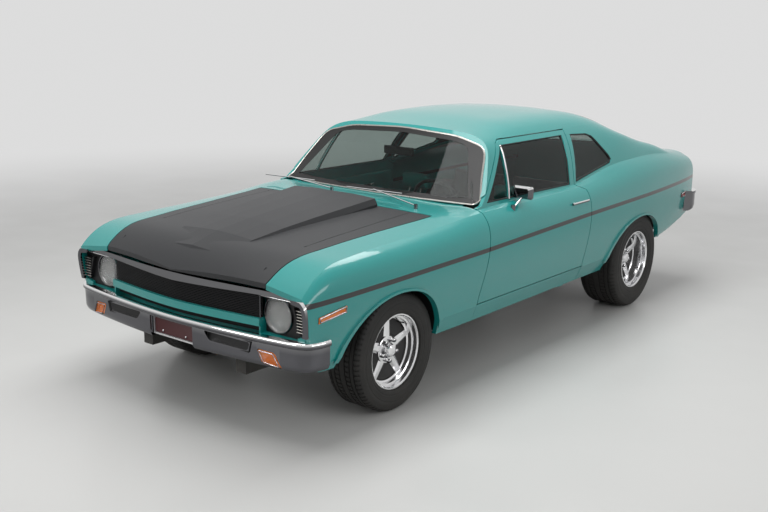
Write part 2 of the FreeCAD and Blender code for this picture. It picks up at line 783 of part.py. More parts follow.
quarter_glass = pane.common(side_prism(shifted(quarter_glass_outline, -seat)))
keep("quarter_windows", both(quarter_glass))


trunk_half = skin_of(deck_solid).common(middle_half)
keep("trunk_lid", trunk_half.fuse(mirrored(trunk_half)))

filler_plan = ((0.0, along(0.672) + seat), (across(0.66), along(0.655) + seat),
               (cabin_side - seat, along(0.63)), (cabin_side - seat, deck_front - gap),
               (0.0, deck_front - gap))
filler_half = skin_of(plan_prism(filler_plan, up(0.62))).cut(quarter)
keep("deck_filler", filler_half.fuse(mirrored(filler_half)))

back_glass_slab = cabin_half(glass_low).cut(cabin_half(glass_low + size("glass_thickness")))
back_glass = back_glass_slab.common(plan_prism(shifted(full(back_window_plan), -seat),
                                               up(0.76)))
keep("rear_window", back_glass.fuse(mirrored(back_glass)))

trim_region = plan_prism(shifted(full(back_window_plan), -seat), up(0.70)).cut(
    plan_prism(shifted(full(back_window_plan), -size("moulding_width")), up(0.70)))
back_trim = cabin_out.cut(cabin_half(glass_low - seat)).common(trim_region)

rocker = body_out.common(box((across(0.80), along(-0.336), 0),
                             (far, along(0.193), door_low - gap)))
seal = box((across(0.87), along(-0.30), door_low - gap * 1.2),
           (across(0.92), along(0.18), door_low - seat))
pad_half = size("jack_pad_length") / 2
pads = [box((across(0.83), along(y) - pad_half, up(0.229)),
            (across(0.88), along(y) + pad_half, up(0.25)))
        for y in (-0.24, 0.12)]
keep("rockers", both(rocker.fuse([seal] + pads)))

# Floor, firewall, wheelhouses
floor_top = size("floor_height")
floor_skin = size("floor_thickness")
floor_edge = across(0.80) - seat
floor_line = (
    (along(-0.428), up(0.40)), (along(-0.350), floor_top), (along(0.333), floor_top),
    (along(0.400), up(0.385)), (along(0.675), up(0.385)), (along(0.71), up(0.33)),
    (along(0.955), up(0.33)),
)
floor_under = [(y, z - floor_skin) for y, z in reversed(floor_line)]
floor_half = side_prism(list(floor_line) + floor_under, 0.0, floor_edge)
flange = box((floor_edge - floor_skin / 2, along(-0.330), floor_top - floor_skin),
             (floor_edge, along(0.18), door_low - gap * 4.3))
floor_half = floor_half.fuse(flange)
tub_radius = size("rear_tyre_radius") + up(0.028)
tub_inner = size("rear_half_track") - size("rear_tyre_width") / 2 - up(0.022)
tub_outer_shell = Part.makeCylinder(tub_radius + skin / 3, far, Vector(tub_inner - skin / 3,
                                    rear_axle, axle_rear_height), Vector(1, 0, 0))
tub_space = Part.makeCylinder(tub_radius, far, Vector(tub_inner, rear_axle, axle_rear_height),
                              Vector(1, 0, 0))
tub = tub_outer_shell.cut(tub_space).common(body_in)
tub = tub.cut(box((0, 0, 0), (far, half_length, up(0.37))))
floor_half = floor_half.cut(tub_space).fuse(tub)
tunnel_height = up(0.095)
tunnel_outline = ((0.0, floor_top - floor_skin), (across(0.17), floor_top - floor_skin),
                  (across(0.11), floor_top + tunnel_height), (0.0, floor_top + tunnel_height))
floor_half = floor_half.cut(front_prism(
    ((0.0, 0.0), (across(0.155), 0.0), (across(0.155), floor_top - floor_skin),
     (across(0.095), floor_top + tunnel_height - floor_skin),
     (0.0, floor_top + tunnel_height - floor_skin)), along(-0.428), along(0.41)))
tunnel = front_prism(tunnel_outline, along(-0.40), along(0.385)).cut(front_prism(
    ((0.0, 0.0), (across(0.155), 0.0), (across(0.155), floor_top - floor_skin),
     (across(0.095), floor_top + tunnel_height - floor_skin),
     (0.0, floor_top + tunnel_height - floor_skin)), -half_length, half_length))
floor_half = floor_half.fuse(tunnel)
floor_pan = joined([floor_half, mirrored(floor_half)])
keep("floor_pan", floor_pan)

firewall_half = body_in.common(box((0, along(-0.438), up(0.39)),
                                   (far, along(-0.430), up(0.70))))
apron_in = across(0.462)
apron = body_in.common(box((apron_in, along(-0.90), up(0.29)),
                           (apron_in + floor_skin / 2, along(-0.438), up(0.70))))
arch_cover = body_in.common(box((apron_in, along(-0.80), up(0.515)),
                                (far, along(-0.474), up(0.519))))
splash = body_in.common(box((apron_in, along(-0.474), up(0.24)),
                            (far, along(-0.470), up(0.519))))
arm_window = box((0, front_axle - size("arm_width"), up(0.28)),
                 (far, front_axle + size("arm_width"), up(0.335)))
bay_half = firewall_half.fuse([apron.cut(arm_window), arch_cover, splash])
keep("engine_bay", joined([bay_half, mirrored(bay_half)]))

# Tail
tail_outline = ((along(0.950), up(0.345)), (along(0.958), up(0.345)), (along(0.978), up(0.71)),
                (along(0.970), up(0.71)))
tail_half = body_half(skin + seat).common(side_prism(tail_outline))
keep("tail_panel", joined([tail_half, mirrored(tail_half)]))

# Front fascia
def bar_half(outer, inner, low, high):
    """Half of a bar that follows a plan curve, between two heights."""
    return plan_face(outer, inner, low).extrude(Vector(0, 0, high - low))


def plan_wire(outer, inner, z):
    first = curve([Vector(x, y, z) for x, y in outer])
    second = curve([Vector(x, y, z) for x, y in inner])
    ends = [first.valueAt(first.FirstParameter), first.valueAt(first.LastParameter),
            second.valueAt(second.FirstParameter), second.valueAt(second.LastParameter)]
    return Part.Wire([first, line(ends[1], ends[3]), second, line(ends[2], ends[0])])


def plan_face(outer, inner, z):
    return Part.Face(plan_wire(outer, inner, z))


def whole(half):
    return half.fuse(mirrored(half))


header_shares = ((0.0, -0.984), (0.40, -0.972), (0.70, -0.957), (0.93, -0.950))
grille_shares = ((0.0, -0.975), (0.35, -0.965), (0.622, -0.952))


def header_curve(back):
    return [(across(x), along(y) + back) for x, y in header_shares]


def grille_curve(back):
    return [(across(x), along(y) + back) for x, y in grille_shares]


def back_line(y):
    return [(across(x), y) for x, back in header_shares]


support_face = along(-0.912)
plate_wall = size("panel_plate")
bar_low = up(0.410)
bar_high = bar_low + size("bar_height")
opening_high = up(0.511)
lamp_shelf_low = up(0.3705)
lamp_shelf_high = up(0.3865)
lamp_face = along(-0.938)
lamp_out = size("headlamp_out")
lamp_high = size("headlamp_height")
lamp_radius = size("headlamp_radius")
ring_radius = lamp_radius + size("lamp_ring_width")

lamp_top = up(0.5205)
header_outline = (
    (0.0, opening_high + seat), (across(0.622), lamp_top + seat * 3), (across(0.935), lamp_top + seat * 3),
    (across(0.975), up(0.516)), (across(0.980), up(0.529)), (across(0.945), up(0.537)),
    (across(0.60), up(0.538)), (0.0, up(0.540)),
)
header = bar_half(header_curve(0.0), header_curve(size("header_depth")), up(0.50), up(0.55))
header = header.common(front_prism(header_outline, -half_length - overrun, 0))
fender_trim = skin_of(side_prism((
    (along(-0.949) - size("trim_width"), up(0.405)), (along(-0.947) - seat, up(0.405)),
    (along(-0.9495) - seat, up(0.42)), (along(-0.957) - seat, up(0.53)),
    (along(-0.957) - size("trim_width"), up(0.53)))))
fender_trim = fender_trim.cut(box((0, -half_length, 0), (across(0.86), 0, tall)))
header = header.fuse(fender_trim).cut([fender, hood_half])
keep("front_header", whole(header))

lower_bar = bar_half(header_curve(plate_wall / 2), back_line(support_face), bar_low, bar_high)
lower_bar = lower_bar.cut(box((across(0.622), -half_length - overrun, 0), (far, 0, tall)))
lamp_shelf = bar_half(header_curve(plate_wall), back_line(support_face), lamp_shelf_low,
                      lamp_shelf_high)
lamp_shelf = lamp_shelf.cut(box((0, -half_length - overrun, 0), (across(0.612), 0, tall)))
cheek = box((across(0.612), along(-0.955), lamp_shelf_low), (across(0.622), support_face, bar_high))
upper_shelf = bar_half(header_curve(size("header_depth") + seat), back_line(support_face),
                       lamp_top + seat * 3, lamp_top + seat * 3 + plate_wall / 2)
support = box((0, support_face, up(0.25)), (across(0.93), support_face + plate_wall, up(0.56)))
corner = front_prism(((across(0.87), lamp_shelf_low), (across(0.93), lamp_shelf_low),
                      (across(0.93), up(0.405)), (across(0.87), up(0.395))),
                     along(-0.945), support_face)
support = support.fuse([lower_bar, lamp_shelf, cheek, upper_shelf, corner]).common(body_in)
stop_radius = plate_wall / 2
stop = rod((across(0.40), support_face + stop_radius, up(0.55)),
           (across(0.40), support_face + stop_radius, tall), stop_radius)
body_inner = body_half(skin + seat)
support = support.fuse(stop.common(body_inner))
lamp_room = Part.makeCylinder(ring_radius + seat, overrun, Vector(
    lamp_out, lamp_face - size("lamp_ring_depth") * 2, lamp_high), Vector(0, 1, 0))
keep("front_panel", whole(support.cut(lamp_room)))

grille_low = bar_high + seat
grille_high = lamp_top
slat_count = int(size("slat_count"))
slat_pitch = (grille_high - grille_low) / slat_count
slat_share = 0.38
slat_back = size("slat_depth")
slats = [bar_half(grille_curve(0.0), grille_curve(slat_back), grille_low + slat_pitch * k,
                  grille_low + slat_pitch * (k + slat_share)) for k in range(slat_count)]
backing = bar_half(grille_curve(slat_back - plate_wall / 2), grille_curve(slat_back), grille_low,
                   grille_high)
lower_mesh = bar_half(grille_curve(slat_back), grille_curve(slat_back * 2),
                      lamp_shelf_high, bar_low - seat)
grille_limit = front_prism(((0.0, 0.0), (across(0.612) - seat, 0.0), (across(0.612) - seat, lamp_top - seat),
                            (0.0, opening_high - seat)), -half_length - overrun, 0)
keep("grille", compound([whole(backing.fuse(slats).common(grille_limit)),
                         whole(lower_mesh.common(grille_limit))]))

bezel_outline = (
    (across(0.622) + seat, lamp_shelf_high + seat), (across(0.87) - seat, lamp_shelf_high + seat),
    (across(0.87) - seat, up(0.395) + seat), (across(0.93), up(0.405) + seat),
    (across(0.985), up(0.405)), (across(0.955), lamp_top - seat),
    (across(0.622) + seat, lamp_top - seat),
)
bezel = front_prism(bezel_outline, lamp_face, lamp_face + size("bezel_thickness"))
louvre_count = int(size("louvre_count"))
louvre_left = ((0.853, 0.488), (0.893, 0.418))
louvre_right = ((0.927, 0.492), (0.978, 0.419))
louvres = []
for number in range(louvre_count):
    share = number / (louvre_count - 1)
    ends = [(across(top[0] + (foot[0] - top[0]) * share), up(top[1] + (foot[1] - top[1]) * share))
            for top, foot in (louvre_left, louvre_right)]
    half_thick = size("louvre_thickness") / 2
    louvres.append(front_prism(
        ((ends[0][0], ends[0][1] - half_thick), (ends[1][0], ends[1][1] - half_thick),
         (ends[1][0], ends[1][1] + half_thick), (ends[0][0], ends[0][1] + half_thick)),
        lamp_face - size("louvre_depth"), lamp_face + size("bezel_thickness") / 2))
louvre_frame = front_prism(
    ((across(0.842), up(0.498)), (across(0.851), up(0.498)), (across(0.893), up(0.408)),
     (across(0.884), up(0.408))), lamp_face - size("louvre_depth"), lamp_face)
bezel = bezel.fuse(louvres + [louvre_frame]).common(body_inner)
bezel = bezel.cut([Part.makeCylinder(ring_radius + seat, overrun, Vector(
    lamp_out, lamp_face - overrun / 2, lamp_high), Vector(0, 1, 0)), fender])
keep("lamp_bezels", both(bezel))


def turned(profile, centre):
    """A body turned about a lamp's axis, from (radius, depth) points."""
    points = [Vector(centre.x + radius, centre.y + depth, centre.z) for radius, depth in profile]
    face = Part.Face(Part.makePolygon(points + [points[0]]))
    return face.revolve(centre, Vector(0, 1, 0), 360)


lamp_centre = Vector(lamp_out, lamp_face, lamp_high)
ring_front = -size("lamp_ring_depth")
bowl = size("bowl_depth")
lens_wall = size("lens_wall")
bulge = size("lens_bulge")
ring = turned((
    (0.0, bowl), (lamp_radius * 0.60, bowl * 0.86), (lamp_radius + lens_wall / 2, bowl * 0.20),
    (ring_radius, bowl * 0.20), (ring_radius, ring_front * 0.35), (ring_radius - lens_wall, ring_front),
    (lamp_radius, ring_front), (lamp_radius, 0.0), (lamp_radius - lens_wall, lens_wall),
    (lamp_radius * 0.60, bowl * 0.70), (0.0, bowl * 0.82)), lamp_centre)
lens_shares = ((0.0, 1.0), (0.35, 0.88), (0.62, 0.62), (0.84, 0.28), (0.985, 0.0))
dome = [(lamp_radius * share, -bulge * high) for share, high in lens_shares]
rim_edge = lamp_radius - seat
lens_profile = dome[:-1] + [(rim_edge, 0.0), (rim_edge, -seat + lens_wall / 2)]
lens_inner = [(radius * (1 - lens_wall / lamp_radius), depth + lens_wall) for radius, depth in dome[:-1]]
lens = turned(lens_profile + list(reversed(lens_inner)), lamp_centre).cut(ring)
keep("headlamp_rings", both(ring))
keep("headlamps", both(lens))

# Bumpers
def stacked(rows, curve_shares, depth):
    """Half a bumper: plan outlines stacked upwards, each set back by its own step."""
    wires = []
    way = -1 if curve_shares[0][1] < 0 else 1
    for z, step in rows:
        outer = [(across(x) * (1 - step / half_width), along(y) - way * step)
                 for x, y in curve_shares]
        inner = [(across(x) * (1 - depth / half_width), along(y) - way * depth)
                 for x, y in curve_shares]
        wires.append(plan_wire(outer, inner, z))
    return Part.makeLoft(wires, True, True)


front_shares = ((0.0, -1.0), (0.40, -0.985), (0.77, -0.970), (0.93, -0.950), (0.984, -0.918))
depth = size("bumper_depth")
ledge = size("bumper_ledge")
setback = size("bumper_setback")
edge = size("bumper_edge")
front_low = up(0.284)
front_top = up(0.388)
front_rows = ((front_low, setback * 2.2), (front_low + edge * 1.5, setback * 1.5),
              (front_top - ledge - edge, setback), (front_top - ledge, setback),
              (front_top - ledge + edge / 2, edge / 4), (front_top - edge / 2, 0.0),
              (front_top, edge * 0.7))
front_full = stacked(front_rows, front_shares, depth)
air_slot = front_prism(((across(0.267), up(0.363)), (across(0.597), up(0.357)),
                        (across(0.580), up(0.326)), (across(0.308), up(0.331))),
                       -half_length - overrun, 0)
plate_half = size("plate_width") / 2 + size("plate_frame")
plate_top = front_top - edge * 1.5
plate_low = plate_top - size("plate_height")
plate_notch = box((0, -half_length - overrun, 0),
                  (plate_half + gap, 0, front_top - ledge - edge / 4))
amber_outline = ((across(0.645), up(0.341)), (across(0.757), up(0.337)),
                 (across(0.801), up(0.288)), (across(0.681), up(0.297)))
set_in = front_full.copy()
set_in.translate(Vector(0, size("lamp_pocket"), 0))
pocket = front_prism(amber_outline, -half_length - overrun, 0).cut(set_in)
amber_lamp = front_full.common(front_prism(shifted(amber_outline, -seat), -half_length - overrun, 0))
set_back = front_full.copy()
set_back.translate(Vector(0, size("lamp_pocket") - seat, 0))
amber_lamp = amber_lamp.cut(set_back)
bracket = box((across(0.37), along(-0.965), up(0.24)), (across(0.42), along(-0.93) - seat, up(0.29)))
front_bumper = front_full.cut([air_slot, plate_notch, pocket]).fuse(bracket)
front_bumper = front_bumper.cut(body_grown.common(box((0, along(-0.958), 0), (far, 0, tall))))
front_bumper = front_bumper.cut([header, support])
keep("front_bumper", whole(front_bumper))

# Blank plate in its frame, under the bumper's ledge
plate_y = -half_length + depth
plate_wall_y = plate_y + size("plate_thickness")
frame_box = box((-plate_half, plate_y - size("plate_frame") / 2, plate_low),
                (plate_half, plate_wall_y + size("plate_frame"), plate_top))
frame_room = box((-size("plate_width") / 2, -half_length - overrun, plate_low + size("plate_frame")),
                 (size("plate_width") / 2, plate_wall_y, plate_top - size("plate_frame") / 2))
bolt_high = plate_low + size("plate_frame") + size("plate_bolt_edge")
bolt_holes = [rod((x, plate_y - overrun, bolt_high), (x, plate_y + overrun, bolt_high),
                  size("plate_bolt_radius"))
              for x in (-size("plate_bolt_spacing") / 2, size("plate_bolt_spacing") / 2)]
plate = frame_box.cut(bolt_holes + [frame_room, finished["front_bumper"].Shape])
keep("front_plate", plate)

rear_shares = ((0.0, 1.0), (0.40, 0.996), (0.80, 0.985), (0.945, 0.965), (0.983, 0.935),
               (0.985, 0.908))
rear_low = up(0.408)
rear_top = up(0.516)
rear_rows = ((rear_low, setback * 2), (rear_low + edge * 1.5, setback), (rear_low + edge * 5, edge / 2),
             (rear_top - ledge, edge / 2), (rear_top - ledge + edge / 2, 0.0),
             (rear_top - edge / 2, 0.0), (rear_top, edge * 0.7))
rear_full = stacked(rear_rows, rear_shares, depth)
tail_region = side_prism(((0, up(0.20)), (along(0.958) + seat, up(0.345)),
                          (along(0.978) + seat, up(0.71)), (0, up(0.71))))
rear_bracket = box((across(0.36), along(0.94), up(0.43)), (across(0.42), along(0.985), up(0.48)))
rear_bumper = rear_full.cut(body_grown.common(box((0, 0, 0), (far, along(0.972), tall))))
keep("rear_bumper", whole(rear_bumper.fuse(rear_bracket.cut(tail_region))))

# Tail lamps and the lamps on the sides
lamp_outline = ((across(0.45), up(0.524)), (across(0.80), up(0.524)), (across(0.80), up(0.575)),
                (across(0.45), up(0.575)))
tail_lamp = front_prism(lamp_outline, along(0.9605), along(0.985)).cut(side_prism(
    ((along(0.5), 0), (along(0.958) + seat, up(0.345)), (along(0.978) + seat, up(0.71)),
     (along(0.5), up(0.71)))))
body_proud = body_half(-size("lens_proud"))
front_marker_outline = ((along(-0.925), up(0.449)), (along(-0.845), up(0.463)),
                        (along(-0.845), up(0.486)), (along(-0.925), up(0.470)))
rear_marker_outline = ((along(0.848), up(0.490)), (along(0.883), up(0.492)),
                       (along(0.883), up(0.517)), (along(0.848), up(0.515)))
markers = [body_proud.common(side_prism(outline, across(0.80))).cut(body_grown)
           for outline in (front_marker_outline, rear_marker_outline)]
keep("tail_lamps", both(compound([tail_lamp, markers[1]])))
keep("amber_lamps", both(compound([amber_lamp, markers[0]])))

# Small parts on the outside
handle_radius = size("handle_radius")
handle_feet = [rod((across(0.94), along(y), up(0.621)), (across(0.975), along(y), up(0.621)),
                   handle_radius) for y in (0.105, 0.165)]
handle = rod((across(0.983), along(0.092), up(0.6215)), (across(0.983), along(0.181), up(0.6215)),
             handle_radius)
lock = rod((across(0.94), along(0.150), up(0.575)), (across(0.990), along(0.150), up(0.575)),
           size("lock_radius"))
handle = handle.fuse(handle_feet + [lock]).cut(body_grown)
keep("door_handle_left", handle)
keep("door_handle_right", mirrored(handle))
mirror_taper_share = 0.72
arm_reach_share = -0.462
mirror_centre = Vector(across(0.925), along(-0.128), up(0.718))
mirror_outline = ((-0.075, -0.020), (-0.068, -0.027), (0.062, -0.027), (0.070, -0.019),
                  (0.070, 0.018), (0.060, 0.026), (-0.066, 0.026), (-0.075, 0.018))
mirror_face = [(mirror_centre.x + across(x), mirror_centre.z + up(z)) for x, z in mirror_outline]
mirror_back = [(mirror_centre.x + across(x) * mirror_taper_share,
                mirror_centre.z + up(z) * mirror_taper_share) for x, z in mirror_outline]


def closed_at(outline, y):
    points = [Vector(x, y, z) for x, z in outline]
    return Part.makePolygon(points + [points[0]])


mirror_head = Part.makeLoft([
    closed_at(mirror_back, mirror_centre.y - size("mirror_depth")),
    closed_at(mirror_face, mirror_centre.y - size("mirror_depth") * 0.45),
    closed_at(mirror_face, mirror_centre.y)], True, True)
mirror_stalk = rod((across(0.925), along(-0.180), up(0.660)),
                   (mirror_centre.x, mirror_centre.y - size("mirror_depth") / 2, up(0.700)),
                   size("mirror_stalk_radius"))
mirror_foot = rod((across(0.925), along(-0.180), up(0.64)), (across(0.925), along(-0.180), up(0.676)),
                  size("mirror_stalk_radius") * 2.4)
keep("door_mirror", mirror_head.fuse([mirror_stalk, mirror_foot]).cut([body_grown, door, door_glass]))

# Bright moulding round the windshield, and the wipers
moulding = raked(-size("moulding_depth"), foot_corner, head_corner, foot_bow, head_bow, True)
moulding_slab = raked(-seat, foot_corner, head_corner, foot_bow, head_bow, True).cut(moulding)
ring_outer = front_prism(windshield_outline_grown, -half_length, along(0.0))
ring_inner = front_prism(windshield_outline_shrunk, -half_length, along(0.0))
moulding_ring = moulding_slab.common(ring_outer).cut(ring_inner).common(cabin_half(-seat))
moulding_ring = moulding_ring.cut([body_grown, door])
keep("window_trim", compound([whole(moulding_ring), whole(back_trim)]))
pivot_places = ((0.569, -0.405), (-0.200, -0.378))
blades = []
for pivot_x, pivot_y in pivot_places:
    start = Vector(across(pivot_x), along(pivot_y), 0)
    z = body_height(abs(start.x), start.y)
    foot = rod((abs(start.x), start.y, z - skin / 2),
               (abs(start.x), start.y, z + size("wiper_pivot_height")),
               size("wiper_pivot_radius")).cut(body_grown)
    if start.x < 0:
        foot = mirrored(foot)
    tip = Vector(start.x + across(arm_reach_share), along(-0.351), up(0.7145))
    arm = rod((start.x, start.y, z + size("wiper_pivot_height") * 0.7), tuple(tip), size("wiper_radius"))
    blade = rod((tip.x - across(0.235), along(-0.351), up(0.7075)),
                (tip.x + across(0.235), along(-0.347), up(0.7125)), size("wiper_radius"))
    blades.append(foot.fuse([arm, blade]))
keep("wipers", compound(blades))

# Chassis
king_x = size("front_half_track") - size("kingpin_inset")
king_radius = size("kingpin_radius")
arm_half = size("arm_width") / 2
arm_heights = ((up(0.155), up(0.168)), (up(0.300), up(0.313)))
rail = box((across(0.36), along(-0.93), up(0.20)), (across(0.44), along(-0.42), up(0.26)))
cross = box((0, front_axle - arm_half * 2, up(0.16)), (across(0.44), front_axle + arm_half * 2, up(0.23)))
arms = [plan_prism(((across(0.40), front_axle - arm_half * 2), (king_x, front_axle - arm_half * 0.6),
                    (king_x, front_axle + arm_half * 0.6), (across(0.40), front_axle + arm_half * 2)),
                   low, high) for low, high in arm_heights]
tower = box((across(0.38), front_axle - arm_half * 1.5, up(0.23)),
            (across(0.44), front_axle + arm_half * 1.5, up(0.33)))
keep("front_subframe", whole(rail.fuse(arms + [cross, tower])))
knuckle_low = arm_heights[0][1] + seat
knuckle_high = arm_heights[1][0] - seat
front_stub = size("front_half_track") + size("front_rim_width") / 2 - size("front_rim_depth")
rear_stub = size("rear_half_track") + size("rear_rim_width") / 2 - size("rear_rim_depth")
stub_radius = size("axle_stub_radius")
disc_radius = size("disc_radius")
disc_in = king_x + size("disc_offset")
disc_out = disc_in + size("disc_thickness")
knuckle = Part.makeCylinder(king_radius, knuckle_high - knuckle_low,
                            Vector(king_x, front_axle, knuckle_low))
knuckle = knuckle.fuse([rod((king_x, front_axle, axle_front_height),
                            (front_stub, front_axle, axle_front_height), stub_radius),
                        rod((disc_in, front_axle, axle_front_height),
                            (disc_out, front_axle, axle_front_height), disc_radius)])
keep("knuckle_left", knuckle)
keep("knuckle_right", mirrored(knuckle))
drum_out = size("rear_half_track") - size("rear_rim_width") / 2 + size("disc_thickness") * 3
drum_in = drum_out - size("disc_thickness") * 2.5
diff_radius = size("diff_radius")
axle = rod((0, rear_axle, axle_rear_height), (drum_out, rear_axle, axle_rear_height),
           size("axle_tube_radius"))
diff_profile = ((0.0, 0.0), (0.0, 1.0), (0.45, 0.92), (0.85, 0.55), (1.15, 0.32), (1.15, 0.0))
diff = Part.Face(Part.makePolygon([Vector(x * diff_radius, rear_axle, axle_rear_height
                                          + rise * diff_radius)
                                   for x, rise in diff_profile + (diff_profile[0],)]))
diff = diff.revolve(Vector(0, rear_axle, axle_rear_height), Vector(1, 0, 0), 360)
axle = axle.fuse([diff, rod((0, rear_axle, axle_rear_height),
                            (rear_stub, rear_axle, axle_rear_height), stub_radius),
                  rod((drum_in, rear_axle, axle_rear_height),
                      (drum_out, rear_axle, axle_rear_height), disc_radius)])
keep("rear_axle", whole(axle))
shaft_start = Vector(0, along(-0.20), up(0.250))
shaft_end = Vector(0, rear_axle - diff_radius - seat, axle_rear_height)
shaft_run = shaft_end.sub(shaft_start)
driveshaft = bound("Part::Cylinder", "driveshaft",
                   Placement(shaft_start, Rotation(Vector(0, 0, 1), shaft_run)),
                   Radius="Sizes.shaft_radius")
driveshaft.Height = shaft_run.Length
finished["driveshaft"] = driveshaft
leaf = size("spring_thickness")
perch = size("spring_perch")
spring_x = (across(0.50), across(0.50) + size("spring_width"))
spring_path = ((along(0.25), up(0.205)), (rear_axle - perch, axle_rear_height - perch),
               (rear_axle + perch, axle_rear_height - perch), (along(0.80), up(0.27)))
spring = side_prism(list(spring_path) + [(y, z + leaf) for y, z in reversed(spring_path)], *spring_x)
shackle = size("shackle_length")
spring = spring.fuse([
    box((spring_x[0], along(0.25), up(0.205)),
        (spring_x[1], along(0.25) + shackle, floor_top - floor_skin - seat)),
    box((spring_x[0], along(0.80) - shackle, up(0.27)),
        (spring_x[1], along(0.80), up(0.33) - floor_skin - seat)),
    box((spring_x[0], rear_axle - perch, axle_rear_height - perch),
        (spring_x[1], rear_axle + perch, axle_rear_height - size("axle_tube_radius") - seat))])
keep("rear_springs", both(spring))
engine_low = up(0.23) + seat
engine_start = along(-0.80)
engine_end = engine_start + size("engine_length")
engine = bound("Part::Box", "engine_core",
               Placement(Vector(-size("engine_width") / 2, engine_start, engine_low), Rotation()),
               Length="Sizes.engine_width", Width="Sizes.engine_length",
               Height="Sizes.engine_height")
engine.recompute()
gearbox = box((-across(0.082), engine_end, up(0.20)), (across(0.082), along(-0.20) - seat, up(0.29)))
gearbox = gearbox.cut(rod(tuple(shaft_start), tuple(shaft_end), size("shaft_radius") + seat))
keep("engine_block", joined([engine.Shape, gearbox]))
tank_top = up(0.33) - floor_skin - seat
tank = box((-across(0.45), along(0.73), up(0.20)), (across(0.45), along(0.93), tank_top))
keep("fuel_tank", tank.makeChamfer(size("tank_chamfer"), [
    edge_of for edge_of in tank.Edges if edge_of.BoundBox.ZMax < up(0.21)]))
pipe_high = up(0.158)
pipe_x = across(0.30)
hanger_half = size("hanger_thickness") / 2
pipe = rod((pipe_x, along(-0.40), pipe_high), (pipe_x, along(0.94), pipe_high),
           size("pipe_radius"))
muffler = rod((pipe_x, along(0.10), pipe_high), (pipe_x, along(0.32), pipe_high),
              size("muffler_radius"))
hangers = [box((pipe_x - hanger_half, along(y), pipe_high),
               (pipe_x + hanger_half, along(y + 0.012), top - seat))
           for y, top in ((-0.25, floor_top - floor_skin), (0.06, floor_top - floor_skin),
                          (0.75, up(0.20)))]
keep("exhaust", both(pipe.fuse([muffler] + hangers)))

# Cabin
dash_front = along(-0.430) + seat
dash = side_prism(((dash_front, up(0.50)), (along(-0.36), up(0.50)), (along(-0.335), up(0.535)),
                   (along(-0.318), up(0.60)), (along(-0.300), up(0.640)), (along(-0.302), up(0.652)),
                   (along(-0.315), up(0.658)), (dash_front, up(0.655))), 0.0, across(0.77))
dash = whole(dash)
seat_x = across(0.43)


def side_block(outline, low, high):
    """A cushion: a side outline carried across, between two places across the car."""
    return side_prism([(y, z) for y, z in outline], low, high)


def car_seat(x, front, width, low):
    """Bucket seat with its cushion, bolsters, leaning back and head restraint."""
    deep = size("seat_depth")
    cushion_high = size("cushion_height")
    back = size("back_thickness")
    high = size("back_height")
    half = width / 2
    bolster = width * bolster_share
    rear = front + deep
    base = side_block(((front + deep * 0.08, low), (rear - back / 2, low),
                       (rear - back / 2, low + cushion_high * 0.82),
                       (front + deep * 0.05, low + cushion_high), (front, low + cushion_high * 0.85),
                       (front, low + cushion_high * 0.35)), x - half, x + half)
    lean = high * seat_lean_share
    back_outline = ((rear - back, low + cushion_high * 0.5), (rear, low + cushion_high * 0.5),
                    (rear + lean, low + high), (rear + lean - back * 0.55, low + high),
                    (rear + lean * 0.75 - back, low + high * 0.85))
    shape = base.fuse([side_block(back_outline, x - half, x + half)])
    shape = shape.cut(side_prism([(rear - back - deep, low + cushion_high * 0.84),
                                  (rear - back * 0.93, low + cushion_high * 0.84),
                                  (rear + lean * 0.7 - back * 0.93, low + high * 0.86),
                                  (rear - back - deep, low + high * 0.86)],
                                 x - half + bolster, x + half - bolster))
    post = box((x - back * 0.30, rear + lean - back * 0.38, low + high * 0.98),
               (x + back * 0.30, rear + lean - back * 0.22, low + high * 1.06))
    rest = side_block(((rear + lean - back * 0.70, low + high * 1.04), (rear + lean, low + high * 1.04),
                       (rear + lean * 1.1, low + high * 1.24), (rear + lean - back * 0.45, low + high * 1.24)),
                      x - half * 0.55, x + half * 0.55)
    return shape.fuse([post, rest]).removeSplitter()


bolster_share = 0.20
seat_lean_share = 0.22
keep("front_seats", both(car_seat(seat_x, along(-0.13), size("seat_width"), floor_top + seat)))
rear_width = size("seat_width") * 2.35 / 2
shelf_top = up(0.385)
rear_cushion = side_prism(((along(0.19), floor_top + seat), (along(0.331), floor_top + seat),
                           (along(0.331), shelf_top), (along(0.20), shelf_top + up(0.012)),
                           (along(0.188), shelf_top - up(0.008))), -rear_width, rear_width)
rear_back = side_prism(((along(0.335), shelf_top + seat), (along(0.405), shelf_top + seat),
                        (along(0.440), shelf_top + size("back_height") * 0.80),
                        (along(0.405), shelf_top + size("back_height") * 0.80)),
                       -rear_width, rear_width)
bridge = box((-rear_width, along(0.30), shelf_top - skin), (rear_width, along(0.35), shelf_top + skin * 2))
bridge = bridge.cut(side_prism(((along(0.3305), floor_top), (along(0.399), shelf_top + seat),
                                (along(0.45), shelf_top + seat), (along(0.45), floor_top)),
                               -far, far))
tunnel_room = front_prism(((-across(0.175), floor_top), (across(0.175), floor_top),
                           (across(0.115), floor_top + tunnel_height + seat),
                           (-across(0.115), floor_top + tunnel_height + seat)),
                          along(0.1), along(0.5))
keep("rear_seat", rear_cushion.fuse([rear_back, bridge]).cut([tunnel_room, floor_pan])
     .removeSplitter())
wheel_centre = Vector(across(0.41), along(-0.215), up(0.63))
wheel_tilt = Rotation(Vector(1, 0, 0), -65)
ring_radius_of = size("steering_wheel_radius")
grip = size("steering_rim_radius")
column_radius = size("column_radius")
column_length = size("column_length")
hub_drop = size("steering_hub_depth")
ring_points = [Vector(ring_radius_of + grip * math.cos(math.radians(angle)), 0,
                      grip * math.sin(math.radians(angle))) for angle in range(0, 360, 45)]
steering_ring = Part.Face(Part.makePolygon(ring_points + [ring_points[0]])).revolve(
    Vector(0, 0, 0), Vector(0, 0, 1), 360)
hub = Part.makeCylinder(column_radius * 1.7, hub_drop, Vector(0, 0, -hub_drop))
